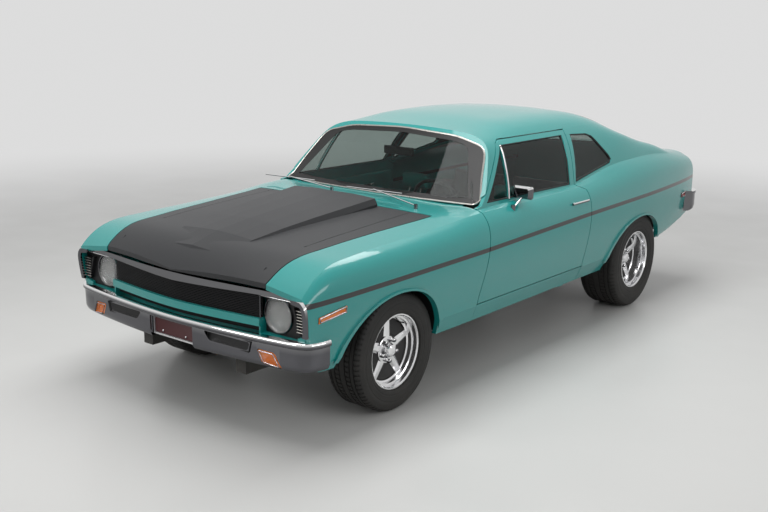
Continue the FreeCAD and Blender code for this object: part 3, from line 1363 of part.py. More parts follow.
spokes = [rod((0, 0, -hub_drop / 2), (ring_radius_of * math.cos(math.radians(angle)),
                                      ring_radius_of * math.sin(math.radians(angle)), 0), grip * 0.6)
          for angle in (0, 180, 270)]
column = rod((0, 0, -hub_drop), (0, 0, -column_length), column_radius)
steering = steering_ring.fuse([hub, column] + spokes)
steering.Placement = Placement(wheel_centre, wheel_tilt)
keep("steering_wheel", steering)
column_space = rod((0, 0, 0), (0, 0, -column_length * 1.2), column_radius + seat)
column_space.Placement = Placement(wheel_centre, wheel_tilt)
keep("dashboard", dash.cut(column_space))


# Wheels
def wheel(width, deep):
    """Rim with five tapering spokes, its face to +X, its middle at the origin."""
    rim = size("rim_radius")
    wall = size("rim_wall")
    half = width / 2
    plane = half - deep
    thick = size("spoke_thickness")
    barrel = ((-half, rim), (-half, rim - wall * 1.8), (-half + wall * 1.8, rim - wall * 3.2),
              (plane - thick, rim - wall * 3.2), (plane - thick, rim - wall * 5),
              (plane - wall / 2, rim - wall * 5), (plane, rim - wall * 3.6),
              (half - wall * 5, rim - wall * 3.4), (half - wall * 4.7, rim - wall * 2),
              (half - wall, rim - wall * 1.7), (half, rim - wall), (half, rim),
              (half - wall * 1.5, rim), (half - wall * 2, rim - wall), (-half + wall * 2, rim - wall),
              (-half + wall * 1.5, rim))
    face = Part.Face(Part.makePolygon([Vector(x, 0, r) for x, r in barrel + (barrel[0],)]))
    shape = face.revolve(Vector(0, 0, 0), Vector(1, 0, 0), 360)
    spoke_wires = []
    for height, wide in ((size("hub_radius") * 0.8, size("spoke_width")),
                         (rim - wall * 4, size("spoke_end_width"))):
        outline = ((-thick, -0.5), (-thick * 0.4, -0.5), (0.0, -spoke_ridge_share), (0.0, spoke_ridge_share),
                   (-thick * 0.4, 0.5), (-thick, 0.5))
        points = [Vector(plane + x, y * wide, height) for x, y in outline]
        spoke_wires.append(Part.makePolygon(points + [points[0]]))
    spoke = Part.makeLoft(spoke_wires, True, True)
    spokes_of = []
    for number in range(int(size("spoke_count"))):
        copy = spoke.copy()
        copy.rotate(Vector(0, 0, 0), Vector(1, 0, 0), number * 360 / size("spoke_count"))
        spokes_of.append(copy)
    hub_profile = ((plane - thick * 1.2, 0.0), (plane - thick * 1.2, size("hub_radius") + wall * 2.4),
                   (plane - thick / 4, size("hub_radius") + wall * 2.4),
                   (plane, size("hub_radius") + wall * 1.6), (plane, 0.0))
    hub_shape = Part.Face(Part.makePolygon([Vector(x, 0, r) for x, r in hub_profile + (hub_profile[0],)]))
    hub_shape = hub_shape.revolve(Vector(0, 0, 0), Vector(1, 0, 0), 360)
    sleeve = Part.makeCylinder(size("cap_radius") + wall, plane + wall, Vector(-wall / 2, 0, 0),
                               Vector(1, 0, 0))
    cap_radius = size("cap_radius")
    cap_high = size("cap_height")
    cap_profile = ((0.0, 0.0), (0.0, cap_radius), (cap_high * 0.55, cap_radius * 0.97),
                   (cap_high * 0.82, cap_radius * 0.84), (cap_high * 0.95, cap_radius * 0.55),
                   (cap_high, 0.0))
    cap = Part.Face(Part.makePolygon([Vector(plane + x, 0, r)
                                      for x, r in cap_profile + (cap_profile[0],)]))
    cap = cap.revolve(Vector(0, 0, 0), Vector(1, 0, 0), 360)
    lugs = []
    for number in range(int(size("spoke_count"))):
        angle = math.radians((number + 0.5) * 360 / size("spoke_count"))
        lugs.append(Part.makeCylinder(size("lug_radius"), size("lug_height"),
                                      Vector(plane, size("lug_circle") * math.sin(angle),
                                             size("lug_circle") * math.cos(angle)),
                                      Vector(1, 0, 0)))
    return shape.fuse(spokes_of + [hub_shape, sleeve, cap] + lugs).removeSplitter()


spoke_ridge_share = 0.24
# Tyre wall from the tread's edge in, as shares of the half width and of the wall's height.
tyre_wall_shares = ((0.74, 1.0), (0.85, 0.97), (0.925, 0.90), (0.97, 0.78), (0.995, 0.60),
                    (1.0, 0.42), (0.985, 0.20), (0.94, 0.07))


def tyre(radius, width, rim_width):
    rim = size("rim_radius") + seat
    half = width / 2
    bead = rim_width / 2 - size("rim_wall")
    wall = [(half * share, rim + (radius - rim) * rise) for share, rise in tyre_wall_shares]
    wall.append((bead, rim))
    outline = [Vector(x, 0, r) for x, r in wall]
    outline += [Vector(-x, 0, r) for x, r in reversed(wall)]
    face = Part.Face(Part.makePolygon(outline + [outline[0]]))
    return face.revolve(Vector(0, 0, 0), Vector(1, 0, 0), 360)


for end, axle_y, radius, width, rim_width, track, deep in (
        ("front", front_axle, axle_front_height, size("front_tyre_width"),
         size("front_rim_width"), size("front_half_track"), size("front_rim_depth")),
        ("rear", rear_axle, axle_rear_height, size("rear_tyre_width"),
         size("rear_rim_width"), size("rear_half_track"), size("rear_rim_depth"))):
    reach = rim_width / 2 - deep + size("stub_clearance")
    bore = Part.makeCylinder(size("hub_bore"), track + reach, Vector(-track, 0, 0), Vector(1, 0, 0))
    left_wheel = wheel(rim_width, deep).cut(bore)
    left_tyre = tyre(radius, width, rim_width)
    for shape in (left_wheel, left_tyre):
        shape.translate(Vector(track, axle_y, radius))
    keep("wheel_%s_left" % end, left_wheel)
    keep("wheel_%s_right" % end, mirrored(left_wheel))
    keep("tyre_%s_left" % end, left_tyre)
    keep("tyre_%s_right" % end, mirrored(left_tyre))

doc.recompute()
faults = [found.Name for found in doc.Objects if "Invalid" in found.State or "Error" in found.State]
faults += [name for name, feature in finished.items()
           if feature.Shape.isNull() or not feature.Shape.isValid() or not feature.Shape.Solids]
if faults:
    raise RuntimeError("not sound: " + ", ".join(faults))

os.makedirs("parts", exist_ok=True)
for name, feature in finished.items():
    feature.Shape.exportStep("parts/%s.step" % name)
print(len(finished), "pieces written")
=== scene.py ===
import json
import math

import bmesh
import bpy
from bpy.props import FloatProperty, FloatVectorProperty, IntProperty, PointerProperty
from mathutils import Matrix, Vector


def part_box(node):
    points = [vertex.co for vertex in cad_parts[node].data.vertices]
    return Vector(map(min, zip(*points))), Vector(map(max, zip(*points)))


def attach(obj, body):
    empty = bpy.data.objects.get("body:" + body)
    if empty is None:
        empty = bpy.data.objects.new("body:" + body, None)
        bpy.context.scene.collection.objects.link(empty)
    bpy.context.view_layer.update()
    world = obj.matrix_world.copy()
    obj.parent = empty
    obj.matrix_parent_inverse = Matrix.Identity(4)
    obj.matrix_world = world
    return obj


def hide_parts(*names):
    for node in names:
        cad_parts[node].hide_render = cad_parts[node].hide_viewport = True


bl_info = {
    "name": "Two-door muscle car",
    "version": (1, 0, 0),
    "blender": (4, 5, 0),
    "location": "View3D > Sidebar > Muscle car",
    "description": "Dresses the packed car with paint, trim, wheels, lamps and cabin",
    "category": "Object",
}

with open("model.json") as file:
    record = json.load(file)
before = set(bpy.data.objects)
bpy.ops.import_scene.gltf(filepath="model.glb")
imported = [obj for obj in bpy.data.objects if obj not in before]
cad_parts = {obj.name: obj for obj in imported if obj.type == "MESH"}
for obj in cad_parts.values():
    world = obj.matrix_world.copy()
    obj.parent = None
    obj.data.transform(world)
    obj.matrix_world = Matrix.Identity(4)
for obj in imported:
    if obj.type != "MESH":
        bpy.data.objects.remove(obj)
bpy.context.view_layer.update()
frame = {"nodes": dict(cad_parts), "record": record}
node_of = frame["nodes"]

# The ray of each view: its axis, where it starts on that axis, and its way.
VIEWS = {"side": (0, 1.5, -1.0), "front": (1, -3.5, 1.0), "top": (2, 3.0, -1.0)}
MERGE = 0.00001  # points closer than this are one
OUTLINE_STEP = 0.0005  # points of a rounded outline are no closer than this
STRIPE_END = 2.40  # the stripe's line runs from minus this to this along the car
STRIPE_SIDE = 0.80  # the stripe lies only on what stands further out than this
LINING_HEIGHT = 1.04  # the roof's lining lies only above this
HEADLAMP = (0.662, -2.2564, 0.669)  # centre of the left headlamp's lens
SEAT_MIDDLE = 0.3954  # the left front seat's distance from the car's middle
SEAT_LEAN = math.radians(13.5)
BENCH_LEAN = math.radians(19)
NUT_CIRCLE = 0.060325  # radius of the circle of the wheel nuts
CAMERA_PLACE = (4.13916, -5.83683, 2.15186)
CAMERA_TURN = (-38.336, 13.3446, 1.0122)  # yaw, pitch and roll in degrees
PAD_PRESSURE = 4.0
SETTLING_FRAMES = 20  # frames that the pads' cloth runs for


# Sizes and colours

class PaintSettings(bpy.types.PropertyGroup):
    body: FloatVectorProperty(
        name="Body paint", description="Colour of the body", subtype="COLOR", size=3,
        default=(0.006, 0.225, 0.212), min=0.0, max=1.0)
    hood: FloatVectorProperty(
        name="Hood paint", description="Satin colour of the hood", subtype="COLOR", size=3,
        default=(0.020, 0.021, 0.023), min=0.0, max=1.0)
    stripe: FloatVectorProperty(
        name="Stripe", description="Colour of the side stripe", subtype="COLOR", size=3,
        default=(0.006, 0.006, 0.007), min=0.0, max=1.0)
    stripe_width: FloatProperty(
        name="Stripe width", description="Height of the side stripe", unit="LENGTH",
        default=0.027, min=0.005, max=0.1)


class TrimSettings(bpy.types.PropertyGroup):
    amber: FloatVectorProperty(
        name="Amber lens", description="Colour of the parking lamps", subtype="COLOR", size=3,
        default=(0.95, 0.21, 0.008), min=0.0, max=1.0)
    red: FloatVectorProperty(
        name="Red lens", description="Colour of the tail lamps", subtype="COLOR", size=3,
        default=(0.45, 0.010, 0.012), min=0.0, max=1.0)


class TyreSettings(bpy.types.PropertyGroup):
    pitches: IntProperty(
        name="Tread pitches", description="Blocks round the tyre", default=72, min=24, max=120)
    groove: FloatProperty(
        name="Groove depth", description="Depth of the tread grooves", unit="LENGTH",
        default=0.006, min=0.001, max=0.012)


class StageSettings(bpy.types.PropertyGroup):
    floor: FloatVectorProperty(
        name="Floor", description="Colour of the floor", subtype="COLOR", size=3,
        default=(0.50, 0.50, 0.49), min=0.0, max=1.0)
    world: FloatProperty(
        name="World light", description="Strength of the even light", default=0.55, min=0.0)
    pale: FloatProperty(
        name="Background", description="Paleness of the background", default=0.72, min=0.0,
        max=1.0)
    lens: FloatProperty(
        name="Lens", description="Focal length of the camera", unit="CAMERA", default=49.6)


def settings(kind):
    return getattr(bpy.context.scene, "car_" + kind)


# Object-mode tools

def nothing_selected():
    if bpy.context.object and bpy.context.object.mode != "OBJECT":
        bpy.ops.object.mode_set(mode="OBJECT")
    bpy.ops.object.select_all(action="DESELECT")


def only(piece):
    nothing_selected()
    piece.select_set(True)
    bpy.context.view_layer.objects.active = piece
    return piece


def placed(piece):
    """The piece's place goes into its mesh, so that its object sits at the origin."""
    only(piece)
    bpy.ops.object.transform_apply(location=True, rotation=True, scale=True)
    return piece


def finish_piece(piece, name, body, slot, angle=35.0):
    """Names a piece, gives it its finish and lets it ride on its body."""
    placed(piece)
    piece.name = name
    piece.data.name = name
    piece.data.materials.clear()
    piece.data.materials.append(finish(slot))
    bpy.ops.object.shade_smooth_by_angle(angle=math.radians(angle))
    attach(piece, body)
    return piece


def modified(piece, kind, **values):
    """Adds a modifier, sets it and applies it."""
    only(piece)
    modifier = piece.modifiers.new(kind.lower(), kind)
    for key, value in values.items():
        setattr(modifier, key, value)
    bpy.ops.object.modifier_apply(modifier=modifier.name)
    return piece


def softened(piece, width, segments=2):
    """Rounds the hard edges of a piece."""
    return modified(piece, "BEVEL", width=width, segments=segments, limit_method="ANGLE",
                    angle_limit=math.radians(40))


def joined(pieces):
    """Several pieces of one kind made one object."""
    nothing_selected()
    for piece in pieces:
        piece.select_set(True)
    bpy.context.view_layer.objects.active = pieces[0]
    bpy.ops.object.join()
    return pieces[0]


def stuffed(piece, cap, voxel=0.008):
    """A pad blown up from its plain form, no point further than the cap, then made smooth."""
    modified(piece, "REMESH", mode="VOXEL", voxel_size=voxel)
    before = [vertex.co.copy() for vertex in piece.data.vertices]
    only(piece)
    cloth = piece.modifiers.new("cloth", "CLOTH")
    cloth.settings.use_pressure = True
    cloth.settings.uniform_pressure_force = PAD_PRESSURE
    cloth.settings.effector_weights.gravity = 0.0
    cloth.point_cache.frame_start = 1
    cloth.point_cache.frame_end = SETTLING_FRAMES
    for number in range(1, SETTLING_FRAMES + 1):
        bpy.context.scene.frame_set(number)
    bpy.ops.object.modifier_apply(modifier=cloth.name)
    for vertex, was in zip(piece.data.vertices, before):
        step = vertex.co - was
        if step.length > cap:
            vertex.co = was + step.normalized() * cap
    bpy.context.scene.frame_set(1)
    modified(piece, "SMOOTH", factor=0.5, iterations=3)
    return modified(piece, "SUBSURF", levels=1, render_levels=1)


# Edit-mode tools

def edit(piece):
    """Edit mode on one piece, picking by vertices."""
    only(piece)
    bpy.ops.object.mode_set(mode="EDIT")
    bpy.context.tool_settings.mesh_select_mode = (True, False, False)


def pick(piece, kind, test):
    """Selects the verts or faces whose place or middle passes a test."""
    mesh = bmesh.from_edit_mesh(piece.data)
    bpy.ops.mesh.select_all(action="DESELECT")
    bpy.context.tool_settings.mesh_select_mode = (kind == "verts", False, kind == "faces")
    for part in getattr(mesh, kind):
        part.select = test(part.co if kind == "verts" else part.calc_center_median())
    mesh.select_flush_mode()
    bmesh.update_edit_mesh(piece.data)


def pressed(piece, test, *steps):
    """Insets the faces that pass a test and moves them, once for each (inset, move)."""
    pick(piece, "faces", test)
    for thickness, move in steps:
        if thickness:
            bpy.ops.mesh.inset(thickness=thickness)
        if move:
            bpy.ops.transform.translate(value=move)
    return piece


def outwards():
    """All normals of the mesh in edit mode turned to its outside."""
    bpy.ops.mesh.select_all(action="SELECT")
    bpy.ops.mesh.normals_make_consistent(inside=False)


def drawn(points, closed=False):
    """A new object with one run of edges through points, left in edit mode."""
    nothing_selected()
    bpy.ops.mesh.primitive_plane_add(size=0.001)
    piece = bpy.context.object
    edit(piece)
    bpy.ops.mesh.merge(type="CENTER")
    bpy.ops.transform.translate(value=points[0])
    for before, after in zip(points[:-1], points[1:]):
        step = [b - a for a, b in zip(before, after)]
        bpy.ops.mesh.extrude_vertices_move(TRANSFORM_OT_translate={"value": step})
    bpy.ops.mesh.select_all(action="SELECT")
    if closed:
        bpy.ops.mesh.edge_face_add()
    return piece


def lathe(centre, axis, profile, steps, closed=False):
    """A profile spun round a centre: (x, z) places for the axis X, (x, y) ones for Y."""
    x, y, z = centre
    if axis == "X":
        points = [(x + along, y, z + out) for along, out in profile]
    else:
        points = [(x + out, y + along, z) for out, along in profile]
    piece = drawn(points + points[:1] if closed else points)
    if closed:
        bpy.ops.mesh.remove_doubles(threshold=MERGE)
    bpy.ops.mesh.spin(steps=steps, angle=math.tau, center=(x, y, z),
                      axis=(1.0, 0.0, 0.0) if axis == "X" else (0.0, 1.0, 0.0))
    bpy.ops.mesh.select_all(action="SELECT")
    bpy.ops.mesh.remove_doubles(threshold=MERGE * 2)
    bpy.ops.mesh.normals_make_consistent(inside=False)
    return piece


def slab(points, direction):
    """A closed outline pulled along a direction."""
    piece = drawn(points, closed=True)
    bpy.ops.mesh.extrude_region_move(TRANSFORM_OT_translate={"value": direction})
    outwards()
    return piece


def block(low, high):
    """A box between two corners, in edit mode with all of it selected."""
    nothing_selected()
    middle = [(a + b) / 2 for a, b in zip(low, high)]
    bpy.ops.mesh.primitive_cube_add(size=1.0, location=middle,
                                    scale=[b - a for a, b in zip(low, high)])
    piece = placed(bpy.context.object)
    edit(piece)
    bpy.ops.mesh.select_all(action="SELECT")
    return piece


def bridged(first, second, closed=True):
    """A band between two runs of as many points."""
    loops = []
    for points in (first, second):
        loops.append(drawn(points + points[:1] if closed else points))
        bpy.ops.mesh.remove_doubles(threshold=MERGE)
    band = joined(loops)
    edit(band)
    bpy.ops.mesh.select_all(action="SELECT")
    bpy.ops.mesh.bridge_edge_loops()
    bpy.ops.mesh.normals_make_consistent(inside=False)
    return band


# Pieces on both sides of the car

def twin(piece, name, body, slot, angle=35.0):
    """The same piece on the other side of the car, with its own mesh."""
    only(piece)
    bpy.ops.object.duplicate()
    other = bpy.context.object
    other.scale.x = -1.0
    edit(placed(other))
    outwards()
    return finish_piece(other, name, body, slot, angle)


def pair(piece, name, body, slot, angle=35.0):
    """A left piece and its twin, each on its own side's body."""
    finish_piece(piece, name + "_left", body, slot, angle)
    return piece, twin(piece, name + "_right", body.replace("left", "right"), slot, angle)


def both_sides(piece, name, body, slot, angle=35.0):
    """A piece and its mirror image on the other side, in one mesh."""
    edit(modified(piece, "MIRROR", use_axis=(True, False, False), use_mirror_merge=False))
    outwards()
    return finish_piece(piece, name, body, slot, angle)


def curve(name, points, dimensions="3D", order=0, closed=False):
    """A curve object along points: in straight runs, or smooth where an order is given."""
    nothing_selected()
    line = bpy.data.curves.new(name, "CURVE")
    line.dimensions = dimensions
    spline = line.splines.new("NURBS" if order else "POLY")
    spline.points.add(len(points) - 1)
    for point, place in zip(spline.points, points):
        point.co = (*place, 1.0)
    spline.use_cyclic_u = closed
    if order:
        spline.order_u = order
        spline.use_endpoint_u = not closed
    piece = bpy.data.objects.new(name, line)
    bpy.context.collection.objects.link(piece)
    return piece


def bead(name, points, radius, body, slot, closed=False, smooth=False, resolution=2):
    """A bead or pipe along a path."""
    piece = curve(name, points, order=3 if smooth else 0, closed=closed)
    piece.data.resolution_u = 6
    piece.data.bevel_depth = radius
    piece.data.bevel_resolution = resolution
    piece.data.use_fill_caps = not closed
    only(piece)
    bpy.ops.object.convert(target="MESH")
    return finish_piece(bpy.context.object, name, body, slot, 60.0)


def bead_pair(name, points, radius, body, slot, closed=False):
    """A bead on the left and its twin on the right."""
    left = bead(name + "_left", points, radius, body, slot, closed=closed)
    twin(left, name + "_right", body.replace("left", "right"), slot)


# Outlines

def touch(nodes, start, direction):
    """Where a ray first meets one of some carried-over solids, named with spaces between."""
    casts = [node_of[node].ray_cast(Vector(start), Vector(direction)) for node in nodes.split()]
    places = [cast[1] for cast in casts if cast[0]]
    if not places:
        raise RuntimeError("no surface of %s from %s" % (nodes, tuple(start)))
    return min(places, key=lambda place: (place - Vector(start)).length)


def laid(view, nodes, outline, out=0.0):
    """The flat points of a view laid on solids, and lifted off them towards the viewer."""
    axis, start, way = VIEWS[view]
    points = []
    for flat in outline:
        first, direction = list(flat), [0.0, 0.0, 0.0]
        first.insert(axis, start)
        direction[axis] = way
        place = list(touch(nodes, first, direction))
        place[axis] -= way * out
        points.append(tuple(place))
    return points


def rounded(outline, cuts, steps=2):
    """A closed outline with each corner turned into a short curve."""
    if not hasattr(cuts, "__len__"):
        cuts = [cuts] * len(outline)
    points = []
    for before, corner, after, cut in zip(outline[-1:] + outline[:-1], outline,
                                          outline[1:] + outline[:1], cuts):
        corner = Vector(corner)
        ends = []
        for end in (before, after):
            side = Vector(end) - corner
            ends.append(corner + side.normalized() * min(cut, side.length / 2))
        for step in range(steps):
            run = step / (steps - 1)
            point = (ends[0] * (1 - run) ** 2 + corner * 2 * run * (1 - run)
                     + ends[1] * run ** 2)
            if not points or (point - Vector(points[-1])).length > OUTLINE_STEP:
                points.append(tuple(point))
    return points


def offset(outline, step):
    """A closed plane outline moved outwards by a step."""
    area = sum(a[0] * b[1] - b[0] * a[1] for a, b in zip(outline, outline[1:] + outline[:1]))
    way = 1 if area > 0 else -1
    moved = []
    for before, point, after in zip(outline[-1:] + outline[:-1], outline,
                                    outline[1:] + outline[:1]):
        run = (Vector(after) - Vector(before)).normalized()
        moved.append((point[0] + way * run[1] * step, point[1] - way * run[0] * step))
    return moved


def spread(points, count, closed=True):
    """Points evenly along a run, so that a bead follows a crowned panel."""
    ring = [Vector(point) for point in points]
    if closed:
        ring.append(ring[0])
    found = []
    for first, last in zip(ring[:-1], ring[1:]):
        for step in range(count):
            found.append(tuple(first + (last - first) * step / count))
    return found if closed else found + [tuple(ring[-1])]


# Node groups

def constants(node, values):
    """Sets inputs by name, with _ for a space."""
    for label, value in values.items():
        node.inputs[label.replace("_", " ")].default_value = value


def added(tree, kind, operation=None, second=None, **values):
    """A new shader node, with its operation and the constants on its inputs."""
    node = tree.nodes.new("ShaderNode" + kind)
    if kind == "Mix":
        node.data_type = "RGBA"
    if operation:
        node.operation = operation
    if second is not None:
        node.inputs[1].default_value = second
    constants(node, values)
    return node


def wires(tree, *routes):
    """Links node, output, node and input of each route."""
    for source, out, target, into in routes:
        tree.links.new(source.outputs[out], target.inputs[into])


def group(name, inputs, outputs):
    """A new shader node group: its inputs with their values, and its outputs."""
    tree = bpy.data.node_groups.new(name, "ShaderNodeTree")
    kinds = {1: "NodeSocketFloat", 3: "NodeSocketVector", 4: "NodeSocketColor"}
    for label, value in inputs.items():
        kind = kinds[len(value) if hasattr(value, "__len__") else 1]
        tree.interface.new_socket(label, in_out="INPUT", socket_type=kind).default_value = value
    for label in outputs:
        kind = kinds[4 if label == "Colour" else 1]
        tree.interface.new_socket(label, in_out="OUTPUT", socket_type=kind)
    return tree, tree.nodes.new("NodeGroupInput"), tree.nodes.new("NodeGroupOutput")


def grain_group():
    """Fine grain on object coordinates: a height, and a value round 0.5."""
    tree, start, end = group("grain", {"Scale": 400.0, "Detail": 3.0, "Stretch": (1.0, 1.0, 1.0)},
                             ("Height", "Value"))
    place, noise = added(tree, "TexCoord"), added(tree, "TexNoise")
    stretch = added(tree, "VectorMath", "MULTIPLY")
    wires(tree, (place, "Object", stretch, 0), (start, "Stretch", stretch, 1),
          (stretch, 0, noise, "Vector"), (start, "Scale", noise, "Scale"),
          (start, "Detail", noise, "Detail"), (noise, "Fac", end, "Height"),
          (noise, "Fac", end, "Value"))
    return tree


def dust_group():
    """Colour that turns dusty towards the ground, in soft patches."""
    tree, start, end = group("dust", {"Colour": (0.5, 0.5, 0.5, 1.0),
                                      "Dust": (0.25, 0.23, 0.2, 1.0),
                                      "Amount": 0.2, "Height": 0.5}, ("Colour", "Mask"))
    place, split = added(tree, "TexCoord"), added(tree, "SeparateXYZ")
    noise = added(tree, "TexNoise", Scale=7.0, Detail=4.0)
    fall = added(tree, "MapRange", From_Min=0.0, To_Min=1.0, To_Max=0.0)
    patch, mask = added(tree, "Math", "MULTIPLY"), added(tree, "Math", "MULTIPLY")
    mix = added(tree, "Mix")
    wires(tree, (place, "Object", split, 0), (place, "Object", noise, "Vector"),
          (split, "Z", fall, "Value"), (start, "Height", fall, "From Max"),
          (fall, "Result", patch, 0), (noise, "Fac", patch, 1), (patch, 0, mask, 0),
          (start, "Amount", mask, 1), (mask, 0, mix, "Factor"), (start, "Colour", mix, "A"),
          (start, "Dust", mix, "B"), (mix, "Result", end, "Colour"), (mask, 0, end, "Mask"))
    return tree


def lens_group():
    """Ribs of a moulded lens along X and Z, as a height."""
    tree, start, end = group("lens_ribs", {"Pitch": 150.0}, ("Height",))
    place, both = added(tree, "TexCoord"), added(tree, "Math", "ADD")
    for number, way in enumerate("XZ"):
        wave = added(tree, "TexWave")
        wave.bands_direction = way
        wires(tree, (place, "Object", wave, "Vector"), (start, "Pitch", wave, "Scale"),
              (wave, "Fac", both, number))
    wires(tree, (both, 0, end, "Height"))
    return tree


def placed_group(tree, name, **values):
    """A node of a shared group, which is made the first time it is asked for."""
    makers = {"grain": grain_group, "dust": dust_group, "lens_ribs": lens_group}
    node = added(tree, "Group")
    node.node_tree = bpy.data.node_groups.get(name) or makers[name]()
    constants(node, values)
    return node


# Materials

def plain_material(name, colour, metallic, roughness, **values):
    """A material, its node tree and its shader with the constants on its own sockets."""
    material = bpy.data.materials.new(name)
    material.use_nodes = True
    shader = material.node_tree.nodes["Principled BSDF"]
    constants(shader, {"Base Color": (*colour, 1.0), "Metallic": metallic,
                       "Roughness": roughness, **values})
    return material, material.node_tree, shader


def add_bump(tree, shader, source, strength, distance, out="Height"):
    bump = added(tree, "Bump", Strength=strength, Distance=distance)
    wires(tree, (source, out, bump, "Height"), (bump, "Normal", shader, "Normal"))


def add_roughness(tree, shader, grain, low, high):
    swing = added(tree, "MapRange", From_Min=0.3, From_Max=0.7, To_Min=low, To_Max=high)
    wires(tree, (grain, "Value", swing, "Value"), (swing, "Result", shader, "Roughness"))


def add_dust(tree, shader, colour, amount, height):
    dust = placed_group(tree, "dust", Colour=(*colour, 1.0), Amount=amount, Height=height)
    wires(tree, (dust, "Colour", shader, "Base Color"))


def body_paint():
    """Teal with a black side stripe, and a black lining under the roof."""
    paint = settings("paint")
    material, tree, shader = plain_material("teal_paint", paint.body, 0.0, 0.32,
                                            Specular_IOR_Level=0.3, Coat_Weight=0.8,
                                            Coat_Roughness=0.03)
    place, split = added(tree, "TexCoord"), added(tree, "SeparateXYZ")
    # The stripe's middle rises in three straight runs from the nose to the tail.
    along = added(tree, "MapRange", From_Min=-STRIPE_END, From_Max=STRIPE_END)
    middle = added(tree, "FloatCurve")
    line = middle.mapping.curves[0]
    for y, z in ((-0.81, 0.782), (0.40, 0.818)):
        line.points.new((y + STRIPE_END) / (2 * STRIPE_END), z)
    line.points[0].location = (0.0, 0.7555)
    line.points[-1].location = (1.0, 0.858)
    for point in line.points:
        point.handle_type = "VECTOR"
    middle.mapping.update()
    below, distance = added(tree, "Math", "SUBTRACT"), added(tree, "Math", "ABSOLUTE")
    inside = added(tree, "Math", "LESS_THAN", paint.stripe_width / 2)
    outer = added(tree, "Math", "ABSOLUTE")
    side = added(tree, "Math", "GREATER_THAN", STRIPE_SIDE)
    stripe = added(tree, "Math", "MULTIPLY")
    dust = placed_group(tree, "dust", Colour=(*paint.body, 1.0), Amount=0.10, Height=0.45)
    striped = added(tree, "Mix", B=(*paint.stripe, 1.0))
    wires(tree, (place, "Object", split, 0), (split, "Y", along, "Value"),
          (along, "Result", middle, "Value"), (split, "Z", below, 0), (middle, 0, below, 1),
          (below, 0, distance, 0), (distance, 0, inside, 0), (split, "X", outer, 0),
          (outer, 0, side, 0), (inside, 0, stripe, 0), (side, 0, stripe, 1),
          (stripe, 0, striped, "Factor"), (dust, "Colour", striped, "A"))
    # Inside the cabin, what looks down from the roof is lined in black.
    facing, turn = added(tree, "NewGeometry"), added(tree, "SeparateXYZ")
    down = added(tree, "Math", "LESS_THAN", -0.25)
    high = added(tree, "Math", "GREATER_THAN", LINING_HEIGHT)
    lined = added(tree, "Math", "MULTIPLY")
    liner = added(tree, "Mix", B=(0.012, 0.012, 0.013, 1.0))
    wires(tree, (facing, "True Normal", turn, 0), (turn, "Z", down, 0), (split, "Z", high, 0),
          (down, 0, lined, 0), (high, 0, lined, 1), (lined, 0, liner, "Factor"),
          (striped, "Result", liner, "A"), (liner, "Result", shader, "Base Color"))
    flake = placed_group(tree, "grain", Scale=900.0, Detail=2.0)
    add_bump(tree, shader, flake, 0.05, 0.0003)
    add_roughness(tree, shader, flake, 0.26, 0.38)
    return material


def hood_paint():
    paint = settings("paint")
    material, tree, shader = plain_material("satin_black", paint.hood, 0.0, 0.42,
                                            Specular_IOR_Level=0.3)
    grain = placed_group(tree, "grain", Scale=700.0, Detail=3.0)
    add_bump(tree, shader, grain, 0.12, 0.0004)
    add_roughness(tree, shader, grain, 0.36, 0.48)
    add_dust(tree, shader, paint.hood, 0.05, 1.2)
    return material


def bright_metal(name, colour, low, high, scale, stretch=(1.0, 1.0, 1.0), depth=0.05):
    material, tree, shader = plain_material(name, colour, 1.0, low)
    grain = placed_group(tree, "grain", Scale=scale, Detail=3.0, Stretch=stretch)
    add_roughness(tree, shader, grain, low, high)
    add_bump(tree, shader, grain, depth, 0.0002)
    return material


def chrome():
    """Plated metal with a painted reflection: pale where it faces the sky, dark where it faces
    the ground.
    """
    material = bright_metal("chrome", (0.6, 0.6, 0.6), 0.03, 0.08, 90.0)
    tree = material.node_tree
    facing, turn = added(tree, "NewGeometry"), added(tree, "SeparateXYZ")
    share = added(tree, "MapRange", From_Min=-0.05, From_Max=0.50)
    # Painted reflection: the base colour runs from dark on faces turned to the ground to pale on
    # faces turned to the sky.
    painted_sky_ground_reflection = added(tree, "Mix", A=(0.11, 0.11, 0.12, 1.0), B=(0.88, 0.88, 0.88, 1.0))
    wires(tree, (facing, "Normal", turn, 0), (turn, "Z", share, "Value"),
          (share, "Result", painted_sky_ground_reflection, "Factor"),
          (painted_sky_ground_reflection, "Result", tree.nodes["Principled BSDF"], "Base Color"))
    return material


def glass():
    material, tree, shader = plain_material("window_glass", (0.48, 0.54, 0.52), 0.0, 0.0,
                                            Transmission_Weight=1.0, IOR=1.22)
    film = placed_group(tree, "grain", Scale=3.0, Detail=4.0)
    add_roughness(tree, shader, film, 0.0, 0.03)
    return material


def lens(name, colour, transmission, pitch):
    material, tree, shader = plain_material(name, colour, 0.0, 0.08, Coat_Weight=0.5,
                                            Transmission_Weight=transmission)
    add_bump(tree, shader, placed_group(tree, "lens_ribs", Pitch=pitch), 0.6, 0.002)
    return material


def moulded(name, colour, low, high, scale, depth, dust=0.15, height=0.6, metallic=0.0):
    """Plastic, rubber, vinyl or chassis paint with a grain and a film of dust."""
    material, tree, shader = plain_material(name, colour, metallic, low,
                                            Specular_IOR_Level=0.25)
    grain = placed_group(tree, "grain", Scale=scale, Detail=4.0)
    add_bump(tree, shader, grain, depth, 0.0006)
    add_roughness(tree, shader, grain, low, high)
    add_dust(tree, shader, colour, dust, height)
    return material


def vinyl():
    """Seat vinyl with a leather-like cell grain."""
    colour = (0.020, 0.020, 0.021)
    material, tree, shader = plain_material("seat_vinyl", colour, 0.0, 0.45)
    place, cells = added(tree, "TexCoord"), added(tree, "TexVoronoi", Scale=260.0)
    wires(tree, (place, "Object", cells, "Vector"))
    add_bump(tree, shader, cells, 0.35, 0.0008, out="Distance")
    add_roughness(tree, shader, placed_group(tree, "grain", Scale=60.0, Detail=3.0), 0.38, 0.55)
    add_dust(tree, shader, colour, 0.06, 1.5)
    return material


